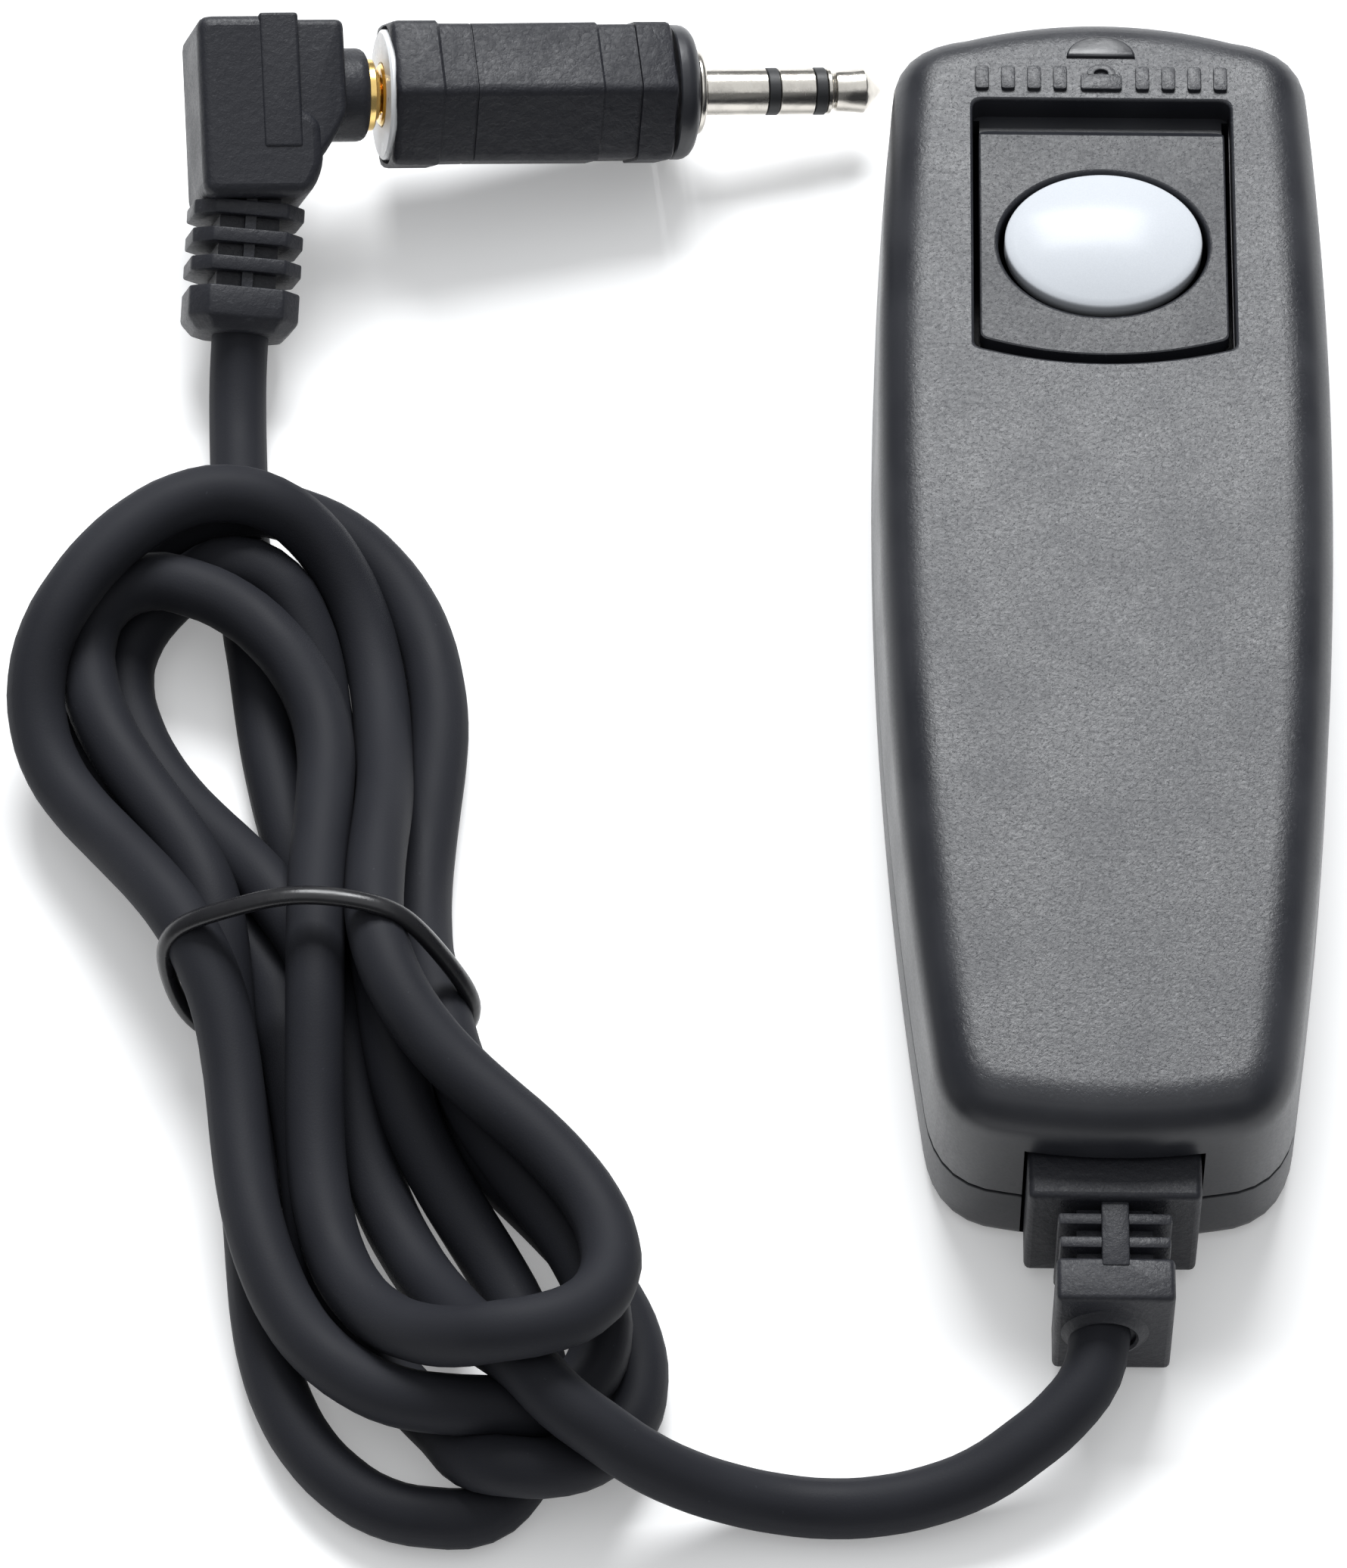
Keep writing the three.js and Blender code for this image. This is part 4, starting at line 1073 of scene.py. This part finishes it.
def plug_body():
    """The right-angle plug: a block with a raised band, a shoulder, a round collar and a ribbed relief."""
    near, far, half = -8.3, 5.2, 4.5
    outline = [(-half, far), (-half, near), (half - 1.1, near), (half, near + 2.2), (half, -2.6), (2.5, -1.4),
               (2.5, far)]
    body = pillow("plug_body", outline, 1.1, -4.45, 4.45, 0.85, PLUG)
    outline = [(0, 4.9), (0, -5.4), (half - 0.2, -5.6), (5.5, -3.8), (6.4, -2.2), (6.4, 4.9)]
    shoulder = pillow("shoulder", outline, 0.65, -4.15, 4.15, 0.55, PLUG)
    outline = [(0.05, 5.3), (0.05, -4.8), (2.95, -4.8), (2.95, 5.3)]
    band = pillow("band", outline, 0.3, -4.56, 4.56, 0.25, PLUG)
    add(body, shoulder)
    add(body, band)
    collar = [[0, 5], [3.45, 5], [3.45, 7.7], [3.38, 8.02], [3.2, 8.26], [2.95, 8.4], [0, 8.45]]
    add(body, turned("collar", collar, PLUG, 56))
    lean = (PLUG @ Matrix.Translation((-0.8, near, 0)) @ Matrix.Rotation(math.radians(-6), 4, "Z")
            @ Matrix.Translation((0, -near, 0)))
    relief = box("relief", (-2.2, -17.2, -2.4), (2.2, near + 1, 2.4), lean)
    add(relief, box("spine", (-0.4, -17, -3.0), (0.4, near + 0.8, 3.0), lean))
    for i in range(3):
        low_y = near - 1.3 - 2.1 * i
        add(relief, soften(rib_plate("rib", low_y, low_y + 1.1, lean), 0.16))
    add(relief, soften(rib_plate("end", -18.1, -14.9, lean, taper=0.8), 0.2, 30))
    whole = smooth(joined("plug_body", [body, relief]))
    return dress(whole, OVERMOULD, "root", "overmould", "plug_overmould")


def jack_flange():
    """The gold seat of the 2.5 mm pin, at the plug's collar."""
    profile = [[0, 8.3], [2.6, 8.3], [2.65, 8.36], [2.65, 8.86], [2.55, 8.96], [2.05, 9], [1.9, 9.08],
               [1.85, 9.3], [1.3, 9.38], [1.26, 9.6], [0, 9.6]]
    return dress(smooth(turned("jack_flange", profile, PLUG, 56)), GOLD, "root", "gold")


def pin(prefix, start, length, radius, place, material, slot, body):
    """Sleeve, ring and tip with a black insulator between each, from the measures of a 14 mm long pin."""
    scale = length / 14
    gap = 0.05

    def at(measure):
        return start + measure * scale

    def band(name, low, high, outer, edge, dress_in, dress_slot):
        profile = [[0, at(low) + gap], [outer - edge, at(low) + gap], [outer, at(low) + gap + edge],
                   [outer, at(high) - edge], [outer - edge, at(high)], [0, at(high)]]
        piece = smooth(turned(f"{prefix}_{name}_seen", profile, place, 64), 30)
        dress(piece, dress_in, body, dress_slot, f"{prefix}_{name}")

    band("sleeve", 0, 4.9, radius, 0.06, material, slot)
    band("insulator_1", 4.9, 5.8, radius + 0.02, 0.05, INNER, "inner_plastic")
    band("ring", 5.8, 8.6, radius, 0.06, material, slot)
    band("insulator_2", 8.6, 9.5, radius + 0.02, 0.05, INNER, "inner_plastic")
    tip = [(0, 9.55), (0.93, 9.55), (0.98, 9.62), (0.98, 9.85), (0.9, 9.98), (0.76, 10.05), (0.74, 10.18),
           (0.84, 10.32), (0.88, 10.5), (0.9, 11.5), (0.95, 12.3), (0.96, 12.5), (0.92, 12.64), (0.6, 13.15),
           (0.3, 13.6), (0.1, 13.9), (0, 13.97)]
    profile = [[share * radius, at(measure)] for share, measure in tip]
    dress(smooth(turned(f"{prefix}_tip_seen", profile, place, 64), 30), material, body, slot, f"{prefix}_tip")


# Adaptor.
def adaptor_body():
    """A hexagonal grip with a raised first band, a fine line, a sunk band and a raised last band."""
    stations = [(9.9, 5.6), (9.98, 5.86), (10.2, 6.08), (10.5, 6.15), (13.3, 6.15), (13.55, 5.88),
                (15.84, 5.86), (15.88, 5.74), (15.98, 5.74), (16.02, 5.86), (25.3, 5.9), (25.5, 5.72),
                (28.12, 5.72), (28.15, 5.6), (28.25, 5.6), (28.3, 5.9), (30.6, 5.9), (30.85, 5.8), (31, 5.55)]
    rings = []
    for x, radius in stations:
        corners = [(radius * math.cos(i * math.pi / 3), radius * math.sin(i * math.pi / 3)) for i in range(6)]
        rings.append([(x, y, z) for y, z in rounded(corners, 0.55, 4)])
    body = loft("adaptor_body_seen", rings, ADAPTOR)
    seat = [[0, 8.9], [5.25, 8.9], [5.1, 10.05], [5.1, 10.9], [2.7, 10.9], [2.7, 27], [0, 27]]
    cut(body, turned("seat", seat, ADAPTOR, 64))
    return dress(smooth(body, 30), ADAPTOR_SKIN, "adaptor", "adaptor_plastic", "adaptor_body")


def adaptor_round_parts():
    """The socket's gold sleeve and pale face ring at one end, the nose and its bright collar at the other."""
    sleeve = [[1.42, 9.75], [1.5, 9.55], [1.75, 9.45], [2.15, 9.45], [2.3, 9.6], [2.3, 10.8], [2.4, 10.95],
              [2.4, 23.5], [1.6, 23.5], [1.6, 11], [1.42, 10.6], [1.42, 9.75]]
    sleeve = smooth(turned("socket_sleeve_seen", sleeve, ADAPTOR, 56))
    dress(sleeve, GOLD, "adaptor", "gold", "socket_sleeve")
    face = [[2.36, 9.75], [2.45, 9.62], [4.6, 9.6], [4.8, 9.75], [4.8, 10.6], [2.36, 10.6], [2.36, 9.75]]
    dress(smooth(turned("face_ring", face, ADAPTOR, 64), 30), PALE, "adaptor", "pale_face", "adaptor_face")
    nose = [[0, 31.3], [4.9, 31.3], [5, 31.4], [5, 31.9], [4.93, 32.25], [4.72, 32.58], [4.4, 32.82],
            [4, 32.96], [3.6, 33], [0, 33]]
    dress(smooth(turned("nose", nose, ADAPTOR, 72), 40), NOSE, "adaptor", "adaptor_plastic", "adaptor_nose")
    collar = [[0, 33.15], [3.0, 33.15], [3.13, 33.25], [3.15, 33.4], [3.08, 33.58], [2.9, 33.7], [2.3, 33.7],
              [2.2, 33.62], [0, 33.62]]
    dress(smooth(turned("flange", collar, ADAPTOR, 72), 40), NICKEL, "adaptor", "nickel", "adaptor_collar")


def inner_parts():
    """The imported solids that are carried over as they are."""
    looks = {
        "button_plunger": INNER, "contact_base": INNER, "contact_screw": STEEL, "leaf_common": STEEL,
        "leaf_focus": STEEL, "leaf_shutter": STEEL, "socket_tip_contact": GOLD, **WIRES,
    }
    for name, material in looks.items():
        materials = frame["nodes"][name].data.materials
        materials.clear()
        materials.append(material)


camera()
floor()
lights()
LINE = cord_line()
CABLE = cable(LINE)
TIE_BAND = tie(LINE)

shell_top()
shell_base()
for number, (x, y) in enumerate(SCREWS, 1):
    shell_screw(number, x, y)
lock_plate()
release_button()
switch_marks()
tail_relief()
PLUG_BODY = plug_body()
JACK_FLANGE = jack_flange()
pin("jack", 8.95, 11, 1.25, PLUG, GOLD, "gold", "root")
adaptor_body()
adaptor_round_parts()
pin("pin", 33.85, 13.65, 1.75, ADAPTOR, NICKEL, "nickel", "adaptor")
inner_parts()

WITH_CORD = [TIE_BAND, PLUG_BODY, JACK_FLANGE, "socket_tip_contact"]
WITH_CORD += [piece for piece in bpy.data.objects if piece.name.endswith("_seen")]
WITH_CORD += [bpy.data.objects[name] for name in ("face_ring", "nose", "flange")]
